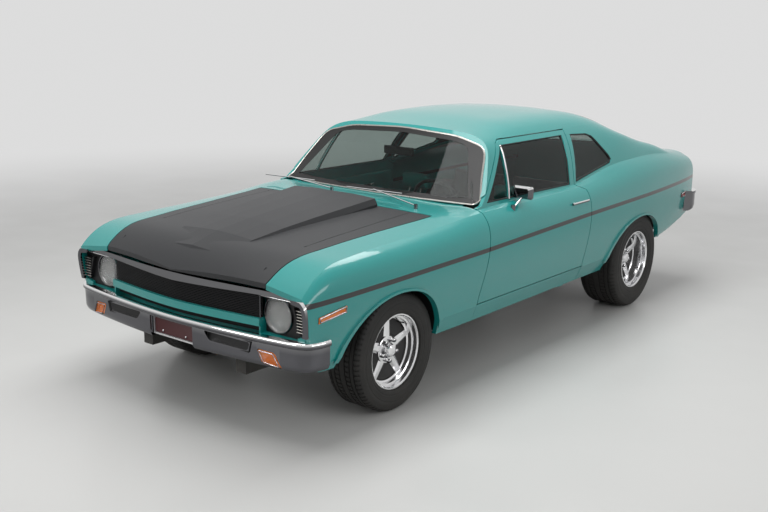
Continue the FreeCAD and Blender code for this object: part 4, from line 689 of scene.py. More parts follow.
FINISHES = {
    "paint_teal": body_paint,
    "hood_black": hood_paint,
    "chrome_trim": chrome,
    "moulding": lambda: bright_metal("brushed_moulding", (0.50, 0.48, 0.45), 0.22, 0.34, 200.0),
    "reflector": lambda: bright_metal("lamp_reflector", (0.93, 0.93, 0.92), 0.08, 0.16, 60.0),
    "wheel_alloy": lambda: bright_metal("polished_alloy", (0.82, 0.82, 0.83), 0.10, 0.20, 240.0),
    "tank_metal": lambda: bright_metal("tank_steel", (0.35, 0.35, 0.35), 0.35, 0.5, 60.0,
                                       stretch=(1.0, 6.0, 1.0), depth=0.3),
    "plate_metal": lambda: bright_metal("plate_metal", (0.62, 0.62, 0.63), 0.35, 0.5, 120.0),
    "plate_paint": lambda: moulded("plate_paint", (0.060, 0.012, 0.014), 0.3, 0.45, 300.0, 0.1),
    "glass_clear": glass,
    "lamp_clear": lambda: lens("clear_lens", (0.92, 0.93, 0.92), 0.85, 130.0),
    "lamp_red": lambda: lens("red_lens", settings("trim").red, 0.35, 150.0),
    "lamp_amber": lambda: lens("amber_lens", settings("trim").amber, 0.25, 150.0),
    "grille_black": lambda: moulded("grille_black", (0.012, 0.012, 0.013), 0.35, 0.5, 300.0, 0.1),
    "under_black": lambda: moulded("chassis_black", (0.022, 0.022, 0.022), 0.5, 0.75, 120.0, 0.3,
                                   dust=0.35, height=0.8),
    "engine_iron": lambda: moulded("cast_iron", (0.08, 0.08, 0.08), 0.5, 0.7, 180.0, 0.6,
                                   dust=0.3, height=1.0, metallic=0.6),
    "tyre_rubber": lambda: moulded("tyre_rubber", (0.016, 0.016, 0.016), 0.55, 0.72, 420.0, 0.2,
                                   dust=0.12, height=0.9),
    "seat_vinyl": vinyl,
    "cabin_teal": lambda: moulded("cabin_teal", (0.012, 0.26, 0.24), 0.4, 0.55, 300.0, 0.2,
                                  dust=0.05),
    "grip_black": lambda: moulded("grip_black", (0.015, 0.015, 0.015), 0.3, 0.42, 500.0, 0.1),
    "dash_black": lambda: moulded("dash_black", (0.016, 0.016, 0.017), 0.5, 0.65, 600.0, 0.4),
}
# Each finish's material once it has been made, by its slot.
made = {}


def finish(slot):
    """The material of a finish, made the first time it is asked for."""
    if slot not in made:
        made[slot] = FINISHES[slot]()
    return made[slot]


# Operators

class CAR_OT_dress(bpy.types.Operator):
    """Gives every carried-over solid its finish"""
    bl_idname = "car.dress"
    bl_label = "Dress the solids"

    def execute(self, context):
        for part in frame["record"]["subparts"]:
            node = node_of[part["node"]]
            slot = "moulding" if part["node"] == "window_trim" else part["material_slot"]
            node.data.materials.clear()
            node.data.materials.append(finish(slot))
            only(node)
            bpy.ops.object.shade_smooth_by_angle(angle=math.radians(32))
        nothing_selected()
        return {"FINISHED"}


class CAR_OT_tyres(bpy.types.Operator):
    """Tyres with grooved tread, shoulder blocks and ringed walls"""
    bl_idname = "car.tyres"
    bl_label = "Tyres"

    def execute(self, context):
        tyre = settings("tyre")
        grooves = (0.16, 0.44, 0.66)  # shares of half the tyre's width
        beside = 0.004  # the cross slots keep this far from a groove
        strips = tyre.pitches * 3  # each block is two strips long, and its slot one
        # The wall, as shares of half the width and of the rise from the rim to the tread.
        wall = [(0.74, 1.0), (0.80, 0.985), (0.86, 0.955), (0.925, 0.885), (0.965, 0.77),
                (0.967, 0.755), (0.985, 0.70), (0.995, 0.60), (0.990, 0.585), (0.990, 0.52),
                (1.0, 0.505), (0.998, 0.40), (0.985, 0.28), (0.972, 0.265), (0.968, 0.215),
                (0.975, 0.20), (0.955, 0.10), (0.93, 0.05)]
        for end in ("front", "rear"):
            low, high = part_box("tyre_%s_left" % end)
            wheel_low, wheel_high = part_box("wheel_%s_left" % end)
            middle = (Vector(low) + Vector(high)) / 2
            radius = (high[2] - low[2]) / 2
            half = (high[0] - low[0]) / 2
            rim = (wheel_high[2] - wheel_low[2]) / 2
            seat_half = (wheel_high[0] - wheel_low[0]) / 2 - 0.007
            profile = [(0.0, radius)]
            for share in grooves:
                x, wide = half * share, tyre.groove * 0.6
                profile += [(x - wide, radius), (x - wide * 0.8, radius - tyre.groove),
                            (x + wide * 0.8, radius - tyre.groove), (x + wide, radius)]
            profile += [(half * share, rim + (radius - rim) * up) for share, up in wall]
            profile.append((seat_half, rim + 0.001))
            profile = [(-x, r) for x, r in reversed(profile[1:])] + profile

            # Cross slots between the blocks: every third strip of the tread is pushed in.
            def in_slot(place):
                turn = math.atan2(place.y - middle.y, place.z - middle.z) % math.tau
                strip = int(turn / math.tau * strips + 0.001)
                out = abs(place.x - middle.x)
                shoulder = half * grooves[2] + beside < out < half * 0.9
                middle_rib = half * grooves[0] + beside < out < half * grooves[1] - beside
                away = math.hypot(place.y - middle.y, place.z - middle.z)
                return ((shoulder or middle_rib) and strip % 3 == int(middle_rib)
                        and away > radius - tyre.groove * 2)

            piece = lathe(middle, "X", profile, strips)
            pick(piece, "faces", in_slot)
            bpy.ops.mesh.extrude_region_shrink_fatten(
                TRANSFORM_OT_shrink_fatten={"value": -tyre.groove * 0.8})
            finish_piece(piece, "dressed_tyre_%s_left" % end, "wheel_%s_left" % end,
                         "tyre_rubber", 28.0)
            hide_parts("tyre_%s_left" % end)
            other = twin(piece, "dressed_tyre_%s_right" % end, "wheel_%s_right" % end,
                         "tyre_rubber", 28.0)
            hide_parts("tyre_%s_right" % end)
        return {"FINISHED"}


class CAR_OT_wheel_details(bpy.types.Operator):
    """Dark pockets between the spokes, cap ring, nuts and valve of each wheel"""
    bl_idname = "car.wheel_details"
    bl_label = "Wheel details"

    def execute(self, context):
        dish = [(0.0, 0.079), (-0.007, 0.084), (-0.010, 0.100), (-0.013, 0.150),
                (-0.014, 0.1725), (-0.018, 0.1725), (-0.018, 0.079)]
        ring = [(0.0, 0.0385), (0.0, 0.047), (0.0035, 0.0465), (0.0045, 0.043), (0.008, 0.0425),
                (0.0085, 0.0385)]
        stem = [(0.0, 0.0), (0.0, 0.0055), (0.012, 0.0045), (0.016, 0.003), (0.030, 0.0028),
                (0.031, 0.0042), (0.041, 0.0042), (0.043, 0.003), (0.043, 0.0)]
        nut_radius, nut_height, chamfer = 0.0125, 0.023, 0.003
        valve_radius, valve_turn = 0.168, math.radians(36)
        # How deep the spokes' plane lies behind each rim's outer edge.
        for end, plane_depth in (("front", 0.058), ("rear", 0.095)):
            low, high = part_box("wheel_%s_left" % end)
            middle = (Vector(low) + Vector(high)) / 2
            body = "wheel_%s_left" % end
            plane = high[0] - plane_depth
            centre = (plane, middle.y, middle.z)
            # The dished, dark sheet behind the spokes.
            pair(lathe(centre, "X", dish, 80, closed=True), "wheel_pockets_" + end, body,
                 "grille_black")
            # A stepped ring round the foot of the cap.
            parts = [lathe(centre, "X", ring, 64, closed=True)]
            # Five nuts with a chamfered six-sided head over the studs.
            for number in range(5):
                turn = math.radians((number + 0.5) * 72)
                place = Vector((plane + 0.012, middle.y + NUT_CIRCLE * math.sin(turn),
                                middle.z + NUT_CIRCLE * math.cos(turn)))
                nothing_selected()
                bpy.ops.mesh.primitive_cylinder_add(
                    vertices=6, radius=nut_radius, depth=nut_height, location=place,
                    rotation=(0.0, math.pi / 2, 0.0))
                nut = placed(context.object)
                edit(nut)
                pressed(nut, lambda spot: spot.x > place.x + nut_height * 0.48,
                        (chamfer, (chamfer, 0.0, 0.0)))
                parts.append(softened(nut, 0.0008))
            pair(joined(parts), "wheel_nuts_" + end, body, "chrome_trim", 30.0)
            # The valve in the rim, near the foot of the lip.
            valve = lathe((plane - 0.008, middle.y, middle.z + valve_radius), "X", stem, 16)
            bpy.ops.transform.rotate(value=valve_turn, orient_axis="X",
                                     center_override=tuple(middle))
            pair(valve, "valve_" + end, body, "grip_black")
        return {"FINISHED"}


class CAR_OT_window_trim(bpy.types.Operator):
    """Rubber seals round the side glass, and the vent bars"""
    bl_idname = "car.window_trim"
    bl_label = "Side window trim"

    def execute(self, context):
        door = [(-0.6215, 1.0235), (-0.2835, 1.3175), (0.4770, 1.3175), (0.3620, 1.0180)]
        quarter = [(0.4570, 1.0255), (0.5985, 1.3130), (0.8030, 1.3015), (0.8660, 1.2820),
                   (0.9840, 1.1450), (0.9985, 1.1185), (0.9700, 1.0985)]
        for nodes, outline, name, body in (
                ("door_glass_left door_left", door, "door_seal", "door_left"),
                ("quarter_windows quarter_left", quarter, "quarter_seal", "chassis")):
            path = laid("side", nodes, spread(rounded(outline, 0.014, 4), 2), 0.0015)
            bead_pair(name, path, 0.0055, body, "grip_black", closed=True)
        # Bright bar between the vent pane and the door glass.
        bar = spread([(-0.3870, 1.0160), (-0.2835, 1.3190)], 8, closed=False)
        bead_pair("vent_bar", laid("side", "door_left", bar, 0.001), 0.0065, "door_left",
                  "chrome_trim")
        return {"FINISHED"}


def before_pillar(place, carried):
    """The depth of a seam point, in front of the pillar's shell where that hides the glass."""
    same_part, clear = 0.15, 0.002
    for out in (1.0, 1.006, 1.012, 1.018, 1.024, 1.030):
        start = Vector((place[0] * out, -3.5, place[1] + 0.2 * (out - 1.0)))
        shell = node_of["roof"].ray_cast(start, Vector((0.0, 1.0, 0.0)))
        if shell[0] and abs(shell[1].y - carried) < same_part:
            carried = min(carried, shell[1].y - clear)
    return carried


class CAR_OT_glass_trim(bpy.types.Operator):
    """Rounded mouldings with dark seals round the windshield and the rear window"""
    bl_idname = "car.glass_trim"
    bl_label = "Glass mouldings"

    def execute(self, context):
        # Left half of the edge of each glass, and of the windshield moulding's seam.
        front = [(0.0, 1.0180), (0.7320, 1.0160), (0.5440, 1.3450), (0.4160, 1.3710),
                 (0.0, 1.3930)]
        pillars = [(0.0, 1.0180), (0.7640, 1.0160), (0.6420, 1.3170), (0.4160, 1.3720),
                   (0.0, 1.3940)]
        back = [(0.0, 1.0200), (0.5130, 1.0340), (0.5500, 1.1540), (0.6050, 1.5740),
                (0.0, 1.6150)]
        lift = 0.0012  # of the seal's inner edge off the glass
        seal_width, next_ring = 0.028, 0.042  # inwards from the edge of the glass
        mouldings, seals = [], []
        for half_edge, half_seam, view, node, cuts in (
                (front, pillars, "front", "windshield", (0.05, 0.03, 0.06, 0.06, 0.10)),
                (back, back, "top", "rear_window", (0.10, 0.05, 0.05, 0.05, 0.10))):
            depth, way = VIEWS[view][0], VIEWS[view][2]
            flat = [axis for axis in range(3) if axis != depth]
            edge, seam = [
                spread(rounded(run + [(-x, y) for x, y in reversed(run[1:-1])],
                               cuts + cuts[-2:0:-1], 5), 2)
                for run in (half_edge, half_seam)]
            # The moulding carries the glass surface on past the edge of the glass.
            inner = laid(view, node, offset(edge, -seal_width), lift)
            deeper = laid(view, node, offset(edge, -next_ring), lift)
            outer = []
            for place, near, far in zip(seam, inner, deeper):
                near_flat, far_flat = [[point[axis] for axis in flat] for point in (near, far)]
                carried = near[depth] + ((near[depth] - far[depth]) * math.dist(place, near_flat)
                                         / math.dist(near_flat, far_flat))
                if view == "front":
                    carried = before_pillar(place, carried)
                point = list(place)
                point.insert(depth, carried - way * 0.001)
                outer.append(tuple(point))
            mouldings.append(bead("moulding", outer, 0.0062, "chassis", "moulding", closed=True,
                                  resolution=1))
            seals.append(modified(bridged(outer, inner), "SOLIDIFY", thickness=0.002, offset=0.0))
        band = finish_piece(joined(mouldings), "glass_mouldings", "chassis", "moulding", 50.0)
        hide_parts("window_trim")
        finish_piece(joined(seals), "glass_seals", "chassis", "grip_black", 50.0)
        # Painted corner between the rear window's foot, the quarter panel and the deck.
        near = [(0.600, 1.518, 1.202), (0.606, 1.556, 1.184), (0.600, 1.592, 1.162),
                (0.560, 1.605, 1.140)]
        far = [(0.684, 1.520, 1.207), (0.684, 1.560, 1.195), (0.684, 1.600, 1.160),
               (0.684, 1.625, 1.136)]
        corner = modified(bridged(near, far, closed=False), "SOLIDIFY", thickness=0.003,
                          offset=0.0)
        both_sides(corner, "window_corners", "chassis", "paint_teal", 40.0)
        return {"FINISHED"}


class CAR_OT_lamps(bpy.types.Operator):
    """Reflector bowls, bulbs, bezel border and the frames of the small lamps"""
    bl_idname = "car.lamps"
    bl_label = "Lamps"

    def execute(self, context):
        bowl = [(0.0800, 0.004), (0.0790, 0.012), (0.0660, 0.028), (0.0480, 0.0365),
                (0.0190, 0.0395), (0.0150, 0.034), (0.0, 0.034), (0.0, 0.0425),
                (0.0500, 0.0405), (0.0690, 0.031), (0.0830, 0.012), (0.0830, 0.004)]
        bulb = [(0.0, -0.002), (0.0070, 0.0005), (0.0110, 0.006), (0.0115, 0.014),
                (0.0085, 0.022), (0.0080, 0.034), (0.0, 0.034)]
        both_sides(lathe(HEADLAMP, "Y", bowl, 64), "lamp_reflectors", "chassis", "reflector")
        both_sides(lathe(HEADLAMP, "Y", bulb, 24), "lamp_bulbs", "chassis", "lamp_clear")
        # Bright line on the inner and upper border of the headlamp opening.
        border = [(0.5665, -2.2930, 0.5700), (0.5665, -2.2930, 0.7600), (0.5740, -2.3020, 0.7620),
                  (0.6440, -2.3005, 0.7625), (0.7500, -2.2940, 0.7625), (0.8550, -2.2840, 0.7620)]
        bead_pair("bezel_border", border, 0.0032, "chassis", "chrome_trim")
        # Pale front edges on the louvres beside each headlamp.
        edges = []
        lowest, pitch = 0.615, 0.015
        for number in range(8):
            height = lowest + number * pitch
            edges.append(bead("louvre", [(0.803, -2.2810, height), (0.856, -2.2810, height)],
                              0.0024, "chassis", "moulding"))
        both_sides(joined(edges), "louvre_edges", "chassis", "moulding", 60.0)
        # Small lamps keep their outline within the lens that the solid has.
        marker = [(-2.2180, 0.6650), (-2.0395, 0.6840), (-2.0395, 0.7110), (-2.2180, 0.6870)]
        rear = [(2.0440, 0.7240), (2.1200, 0.7265), (2.1200, 0.7565), (2.0440, 0.7540)]
        for node, outline, name in (("amber_lamps", marker, "front_marker_frame"),
                                    ("tail_lamps", rear, "rear_marker_frame")):
            path = laid("side", node, rounded(outline, 0.006, 3), 0.0005)
            bead_pair(name, path, 0.0032, "chassis", "chrome_trim", closed=True)
        parking = [(0.6020, 0.4975), (0.6900, 0.4915), (0.7250, 0.4290), (0.6330, 0.4410)]
        path = laid("front", "amber_lamps", spread(rounded(parking, 0.008, 3), 2), 0.0115)
        bead_pair("parking_lamp_frame", path, 0.0020, "chassis", "chrome_trim", closed=True)
        return {"FINISHED"}


class CAR_OT_front_bumper(bpy.types.Operator):
    """Front bumper in one sweep, with air slots, lamp pockets, stays and the blank plate"""
    bl_idname = "car.front_bumper"
    bl_label = "Front bumper"

    def execute(self, context):
        low, high = 0.4175, 0.5704
        plan = [(0.0, -2.4015, 0.0), (0.200, -2.3935, 0.0), (0.400, -2.3770, 0.0),
                (0.600, -2.3535, 0.0), (0.740, -2.3330, 0.0), (0.820, -2.3180, 0.0),
                (0.872, -2.2960, 0.0), (0.9010, -2.2580, 0.0), (0.9120, -2.2080, 0.0),
                (0.9150, -2.1560, 0.0)]
        # Cross section: distance in front of the plan line, and height.
        section = [(0.0, high - 0.010), (-0.004, high - 0.003), (-0.010, high), (-0.042, high),
                   (-0.045, high - 0.004), (-0.045, low + 0.004), (-0.042, low), (-0.024, low),
                   (-0.0175, low + 0.008), (-0.0115, low + 0.026), (-0.0095, high - 0.045),
                   (-0.0095, high - 0.034), (-0.002, high - 0.029), (0.001, high - 0.022)]
        section_line = curve("bumper_section", [(out, z, 0.0) for out, z in section], "2D",
                             closed=True)
        bumper = curve("bumper_plan", [(-x, y, z) for x, y, z in reversed(plan[1:])] + plan, "2D",
                       order=4)
        bumper.data.resolution_u = 10
        bumper.data.bevel_mode = "OBJECT"
        bumper.data.bevel_object = section_line
        bumper.data.use_fill_caps = True
        only(bumper)
        bpy.ops.object.convert(target="MESH")
        bumper = context.object
        bpy.data.objects.remove(section_line)
        edit(bumper)
        bpy.ops.mesh.select_all(action="SELECT")
        bpy.ops.mesh.remove_doubles(threshold=MERGE * 2)
        bpy.ops.mesh.normals_make_consistent(inside=False)
        # Air slots and lamp pockets on both sides, and the room for the plate, are cut out.
        before, cut_depth = -2.50, 0.30
        slot = [(0.2455, 0.5336), (0.5490, 0.5248), (0.5333, 0.4792), (0.2832, 0.4866)]
        pocket = [(0.5930, 0.5013), (0.6960, 0.4954), (0.7365, 0.4234), (0.6262, 0.4366)]
        cutters = []
        for way in (1, -1):
            for outline in (slot, offset(pocket, 0.005)):
                cutters.append(slab([(way * x, before, z) for x, z in rounded(outline, 0.010)],
                                    (0.0, cut_depth, 0.0)))
        cutters.append(block((-0.166, before, low - 0.02),
                             (0.166, before + cut_depth, high - 0.036)))
        cutter = joined(cutters)
        modified(bumper, "BOOLEAN", operation="DIFFERENCE", solver="EXACT", object=cutter)
        bpy.data.objects.remove(cutter)
        finish_piece(bumper, "front_blade", "chassis", "chrome_trim", 38.0)
        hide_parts("front_bumper")
        # Stays between the bumper and the panel behind it.
        stays = []
        for x in (-0.365, 0.365):
            stay = block((x - 0.022, -2.352, 0.420), (x + 0.022, -2.235, 0.460))
            pressed(stay, lambda spot: spot.y < -2.351, (0.006, (0.0, -0.004, 0.0)))
            stays.append(softened(stay, 0.003))
        finish_piece(joined(stays), "bumper_stays", "chassis", "under_black")
        # Dark boxes lining the air slots are painted shade, so that the panel behind them stays
        # dark.
        opening = ((0.2350, 0.5400), (0.5600, 0.5310), (0.5450, 0.4730), (0.2750, 0.4800))
        shade_boxes = []
        for way in (1, -1):
            room = slab([(way * x, -2.356, z) for x, z in opening], (0.0, 0.012, 0.0))
            shade_boxes.append(pressed(room, lambda spot: spot.y < -2.3555,
                                   (0.008, (0.0, 0.008, 0.0))))
        finish_piece(joined(shade_boxes), "slot_linings", "chassis", "grille_black")
        # Blank plate with a raised border and two round-headed bolts.
        low_plate, high_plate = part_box("front_plate")
        plate_front = low_plate[1] + 0.004
        sheet = block((-0.1505, plate_front, low_plate[2] + 0.011),
                      (0.1505, plate_front + 0.0025, high_plate[2] - 0.006))
        pressed(sheet, lambda spot: spot.y < plate_front + 0.0001, (0.005, None),
                (0.002, (0.0, 0.0012, 0.0)))
        finish_piece(softened(sheet, 0.0005), "plate_sheet", "chassis", "plate_paint")
        head = [(0.0, -0.0040), (0.0035, -0.0036), (0.0062, -0.0018), (0.0066, 0.0), (0.0, 0.0)]
        heads = [lathe((x, plate_front, 0.4554), "Y", head, 20) for x in (-0.089, 0.089)]
        finish_piece(joined(heads), "plate_bolts", "chassis", "chrome_trim")
        return {"FINISHED"}


class CAR_OT_front_seats(bpy.types.Operator):
    """Two padded front seats on hard teal shells"""
    bl_idname = "car.front_seats"
    bl_label = "Front seats"

    def execute(self, context):
        low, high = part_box("front_seats")
        front, floor = low[1], low[2]
        half = high[0] - SEAT_MIDDLE
        between_rolls = half * 0.60

        def across(inset, start, end, cuts=0):
            """A box across the left seat, between two (y, z) from its front and floor."""
            piece = block((SEAT_MIDDLE - half + inset, front + start[0], floor + start[1]),
                          (SEAT_MIDDLE + half - inset, front + end[0], floor + end[1]))
            if cuts:
                bpy.ops.mesh.subdivide(number_cuts=cuts)
            return piece

        def leaned():
            """Turns all of the piece in edit mode backwards about the foot of the seat back."""
            bpy.ops.mesh.select_all(action="SELECT")
            bpy.ops.transform.rotate(value=SEAT_LEAN, orient_axis="X",
                                     center_override=(SEAT_MIDDLE, front + 0.46, floor + 0.14))

        # Cushion: a block with raised side rolls, blown up.
        cushion = across(0.012, (0.012, 0.075), (0.475, 0.138), cuts=7)
        pressed(cushion, lambda spot: abs(spot.x - SEAT_MIDDLE) < between_rolls
                and spot.z > floor + 0.137 and spot.y > front + 0.05,
                (0, (0.0, 0.0, -0.020)))
        stuffed(softened(cushion, 0.016), 0.022)
        # Back: the same form upright, its upper end leaning to the rear.
        back = across(0.014, (0.400, 0.135), (0.475, 0.505), cuts=7)
        pressed(back, lambda spot: abs(spot.x - SEAT_MIDDLE) < between_rolls
                and spot.y < front + 0.401 and spot.z < floor + 0.46, (0, (0.0, 0.022, 0.0)))
        leaned()
        stuffed(softened(back, 0.016), 0.020)
        # Hard shells: a pan under the cushion and a curved back.
        pan = across(0.004, (0.02, 0.048), (0.49, 0.090))
        pressed(pan, lambda spot: spot.z < floor + 0.049, (0.03, (0.0, 0.0, 0.018)))
        softened(pan, 0.012, 3)
        shell = across(0.010, (0.468, 0.070), (0.494, 0.512), cuts=6)
        pick(shell, "verts", lambda spot: abs(spot.x - SEAT_MIDDLE) < half * 0.9
             and spot.y > front + 0.49 and floor + 0.09 < spot.z < floor + 0.49)
        bpy.ops.transform.translate(value=(0.0, 0.012, 0.0))
        leaned()
        hard = joined([pan, softened(shell, 0.010, 3)])
        # Head restraint on two posts, and two rails under the pan.
        rest = across(half * 0.48, (0.548, 0.530), (0.612, 0.632), cuts=5)
        stuffed(softened(rest, 0.020, 3), 0.012)
        iron = []
        for side in (-0.05, 0.05):
            iron.append(bead("seat_post", [(SEAT_MIDDLE + side, front + 0.545, floor + 0.47),
                                           (SEAT_MIDDLE + side, front + 0.580, floor + 0.56)],
                             0.005, "chassis", "chrome_trim"))
        for side in (-1, 1):
            middle = SEAT_MIDDLE + side * 0.16
            rail = block((middle - 0.016, front + 0.06, floor + 0.0005),
                         (middle + 0.016, front + 0.47, floor + 0.050))
            iron.append(pressed(rail, lambda spot: spot.z > floor + 0.049,
                                (0.008, (0.0, 0.0, -0.012))))
        for piece, name, slot, pad in ((cushion, "seat_cushion", "seat_vinyl", 0.8),
                                       (back, "seat_back_pad", "seat_vinyl", 0.75),
                                       (rest, "head_rest", "cabin_teal", 0.8),
                                       (hard, "seat_shell", "cabin_teal", None),
                                       (joined(iron), "seat_iron", "chrome_trim", None)):
            for one in pair(piece, name, "chassis", slot, 45.0):
                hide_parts("front_seats")
        return {"FINISHED"}


class CAR_OT_rear_seat(bpy.types.Operator):
    """Padded rear bench with two seats"""
    bl_idname = "car.rear_seat"
    bl_label = "Rear seat"

    def execute(self, context):
        low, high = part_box("rear_seat")
        base = block((low[0] + 0.02, low[1] + 0.012, low[2] + 0.001),
                     (high[0] - 0.02, low[1] + 0.335, low[2] + 0.150))
        pressed(base, lambda spot: spot.z < low[2] + 0.002, (0.02, None))
        softened(base, 0.01)
        pads = []
        for side in (-1, 1):
            inner, outer = sorted((side * 0.018, side * (high[0] - 0.018)))
            pads.append(block((inner, low[1] + 0.012, low[2] + 0.150),
                              (outer, low[1] + 0.345, low[2] + 0.205)))
            bpy.ops.mesh.subdivide(number_cuts=7)
            pads.append(block((inner, low[1] + 0.300, low[2] + 0.185),
                              (outer, low[1] + 0.362, high[2] - 0.030)))
            bpy.ops.mesh.subdivide(number_cuts=7)
            bpy.ops.transform.rotate(value=BENCH_LEAN, orient_axis="X",
                                     center_override=(0.0, low[1] + 0.362, low[2] + 0.19))
        for number, pad in enumerate(pads):
            stuffed(softened(pad, 0.018), 0.020, voxel=0.010)
            finish_piece(pad, "rear_pad_%d" % number, "chassis", "seat_vinyl", 45.0)
            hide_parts("rear_seat")
        finish_piece(base, "rear_seat_base", "chassis", "cabin_teal")
        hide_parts("rear_seat")
        return {"FINISHED"}


class CAR_OT_door_panels(bpy.types.Operator):
    """Inner door panels with arm rest, crank and handle"""
    bl_idname = "car.door_panels"
    bl_label = "Door panels"

    def execute(self, context):
        face = touch("door_left", (0.5, -0.1, 0.75), (1.0, 0.0, 0.0)).x
        outline = [(-0.705, 0.500), (0.400, 0.500), (0.420, 0.940), (-0.660, 0.940)]
        panel = slab([(face - 0.001, y, z) for y, z in outline], (-0.016, 0.0, 0.0))
        pressed(panel, lambda spot: spot.x < face - 0.0165, (0.022, (-0.006, 0.0, 0.0)),
                (0.060, (0.004, 0.0, 0.0)))
        softened(panel, 0.004)
        rest = block((face - 0.062, -0.180, 0.655), (face - 0.014, 0.230, 0.700))
        pressed(rest, lambda spot: spot.z > 0.699, (0.010, (0.0, 0.0, 0.012)))
        softened(rest, 0.009, 3)
        pair(joined([panel, rest]), "door_panel", "door_left", "cabin_teal")
        # Window crank: boss, bent arm and knob.
        x, y, z = face - 0.018, -0.300, 0.765
        boss = [(0.0, 0.0), (0.0, 0.024), (-0.006, 0.023), (-0.010, 0.012), (-0.020, 0.010),
                (-0.020, 0.0)]
        knob = [(0.0, 0.0), (0.0, 0.008), (-0.010, 0.013), (-0.022, 0.012), (-0.026, 0.0)]
        foot = lathe((x, y, z), "X", boss, 24)
        arm = bead("crank_arm", [(x - 0.016, y, z), (x - 0.024, y + 0.050, z + 0.020),
                                 (x - 0.022, y + 0.105, z + 0.040)],
                   0.006, "door_left", "chrome_trim", smooth=True)
        ball = lathe((x - 0.024, y + 0.105, z + 0.040), "X", knob, 20)
        # Inner handle: a bent pull.
        pull = bead("door_pull", [(x, 0.100, 0.860), (x - 0.018, 0.110, 0.862),
                                  (x - 0.020, 0.190, 0.864), (x, 0.205, 0.866)],
                    0.006, "door_left", "chrome_trim", smooth=True)
        pair(joined([foot, arm, ball, pull]), "window_crank", "door_left", "chrome_trim", 40.0)
        return {"FINISHED"}


class CAR_OT_dash_details(bpy.types.Operator):
    """Dials, glove box lid and inner mirror"""
    bl_idname = "car.dash_details"
    bl_label = "Dashboard details"

    def execute(self, context):
        forwards = (0.0, -1.0, 0.0)
        needle_turn = math.radians(40)
        rims, faces = [], []
        for x, z, radius in ((0.285, 0.880, 0.046), (0.405, 0.880, 0.046),
                             (0.515, 0.885, 0.030), (0.515, 0.815, 0.026)):
            y = touch("dashboard", (x, 0.5, z), forwards).y
            inner = radius - 0.006
            ring = [(radius, -0.010), (radius, 0.010), (radius - 0.003, 0.014), (inner, 0.008),
                    (inner, -0.010)]
            dial = [(0.0, 0.003), (radius * 0.55, 0.002), (inner, 0.004), (inner, -0.006),
                    (0.0, -0.006)]
            rims.append(lathe((x, y, z), "Y", ring, 40, closed=True))
            faces.append(lathe((x, y, z), "Y", dial, 40))
            needle = block((x - 0.0012, y + 0.004, z - 0.003),
                           (x + 0.0012, y + 0.006, z + radius * 0.62))
            bpy.ops.transform.rotate(value=needle_turn, orient_axis="Y",
                                     center_override=(x, y, z))
            rims.append(needle)
        finish_piece(joined(rims), "dial_rims", "chassis", "chrome_trim")
        finish_piece(joined(faces), "dial_faces", "chassis", "grip_black")
        # Lid of the glove box, with a raised middle.
        y = touch("dashboard", (-0.37, 0.5, 0.860), forwards).y
        lid = block((-0.560, y - 0.012, 0.800), (-0.190, y + 0.004, 0.915))
        pressed(lid, lambda place: place.y > y + 0.003, (0.012, (0.0, 0.004, 0.0)))
        finish_piece(softened(lid, 0.003), "glove_box_lid", "chassis", "grip_black")
        # Inner mirror on its stalk from the windshield's upper edge.
        y = touch("windshield", (0.0, 0.8, 1.285), forwards).y
        head = block((-0.115, y + 0.045, 1.215), (0.115, y + 0.067, 1.268))
        pressed(head, lambda place: place.y > y + 0.066, (0.004, (0.0, -0.003, 0.0)))
        softened(head, 0.010, 4)
        stalk = bead("mirror_stalk", [(0.0, y + 0.004, 1.290), (0.0, y + 0.030, 1.285),
                                      (0.0, y + 0.050, 1.250)],
                     0.005, "chassis", "chrome_trim", smooth=True)
        finish_piece(joined([head, stalk]), "inner_mirror", "chassis", "grip_black")
        return {"FINISHED"}


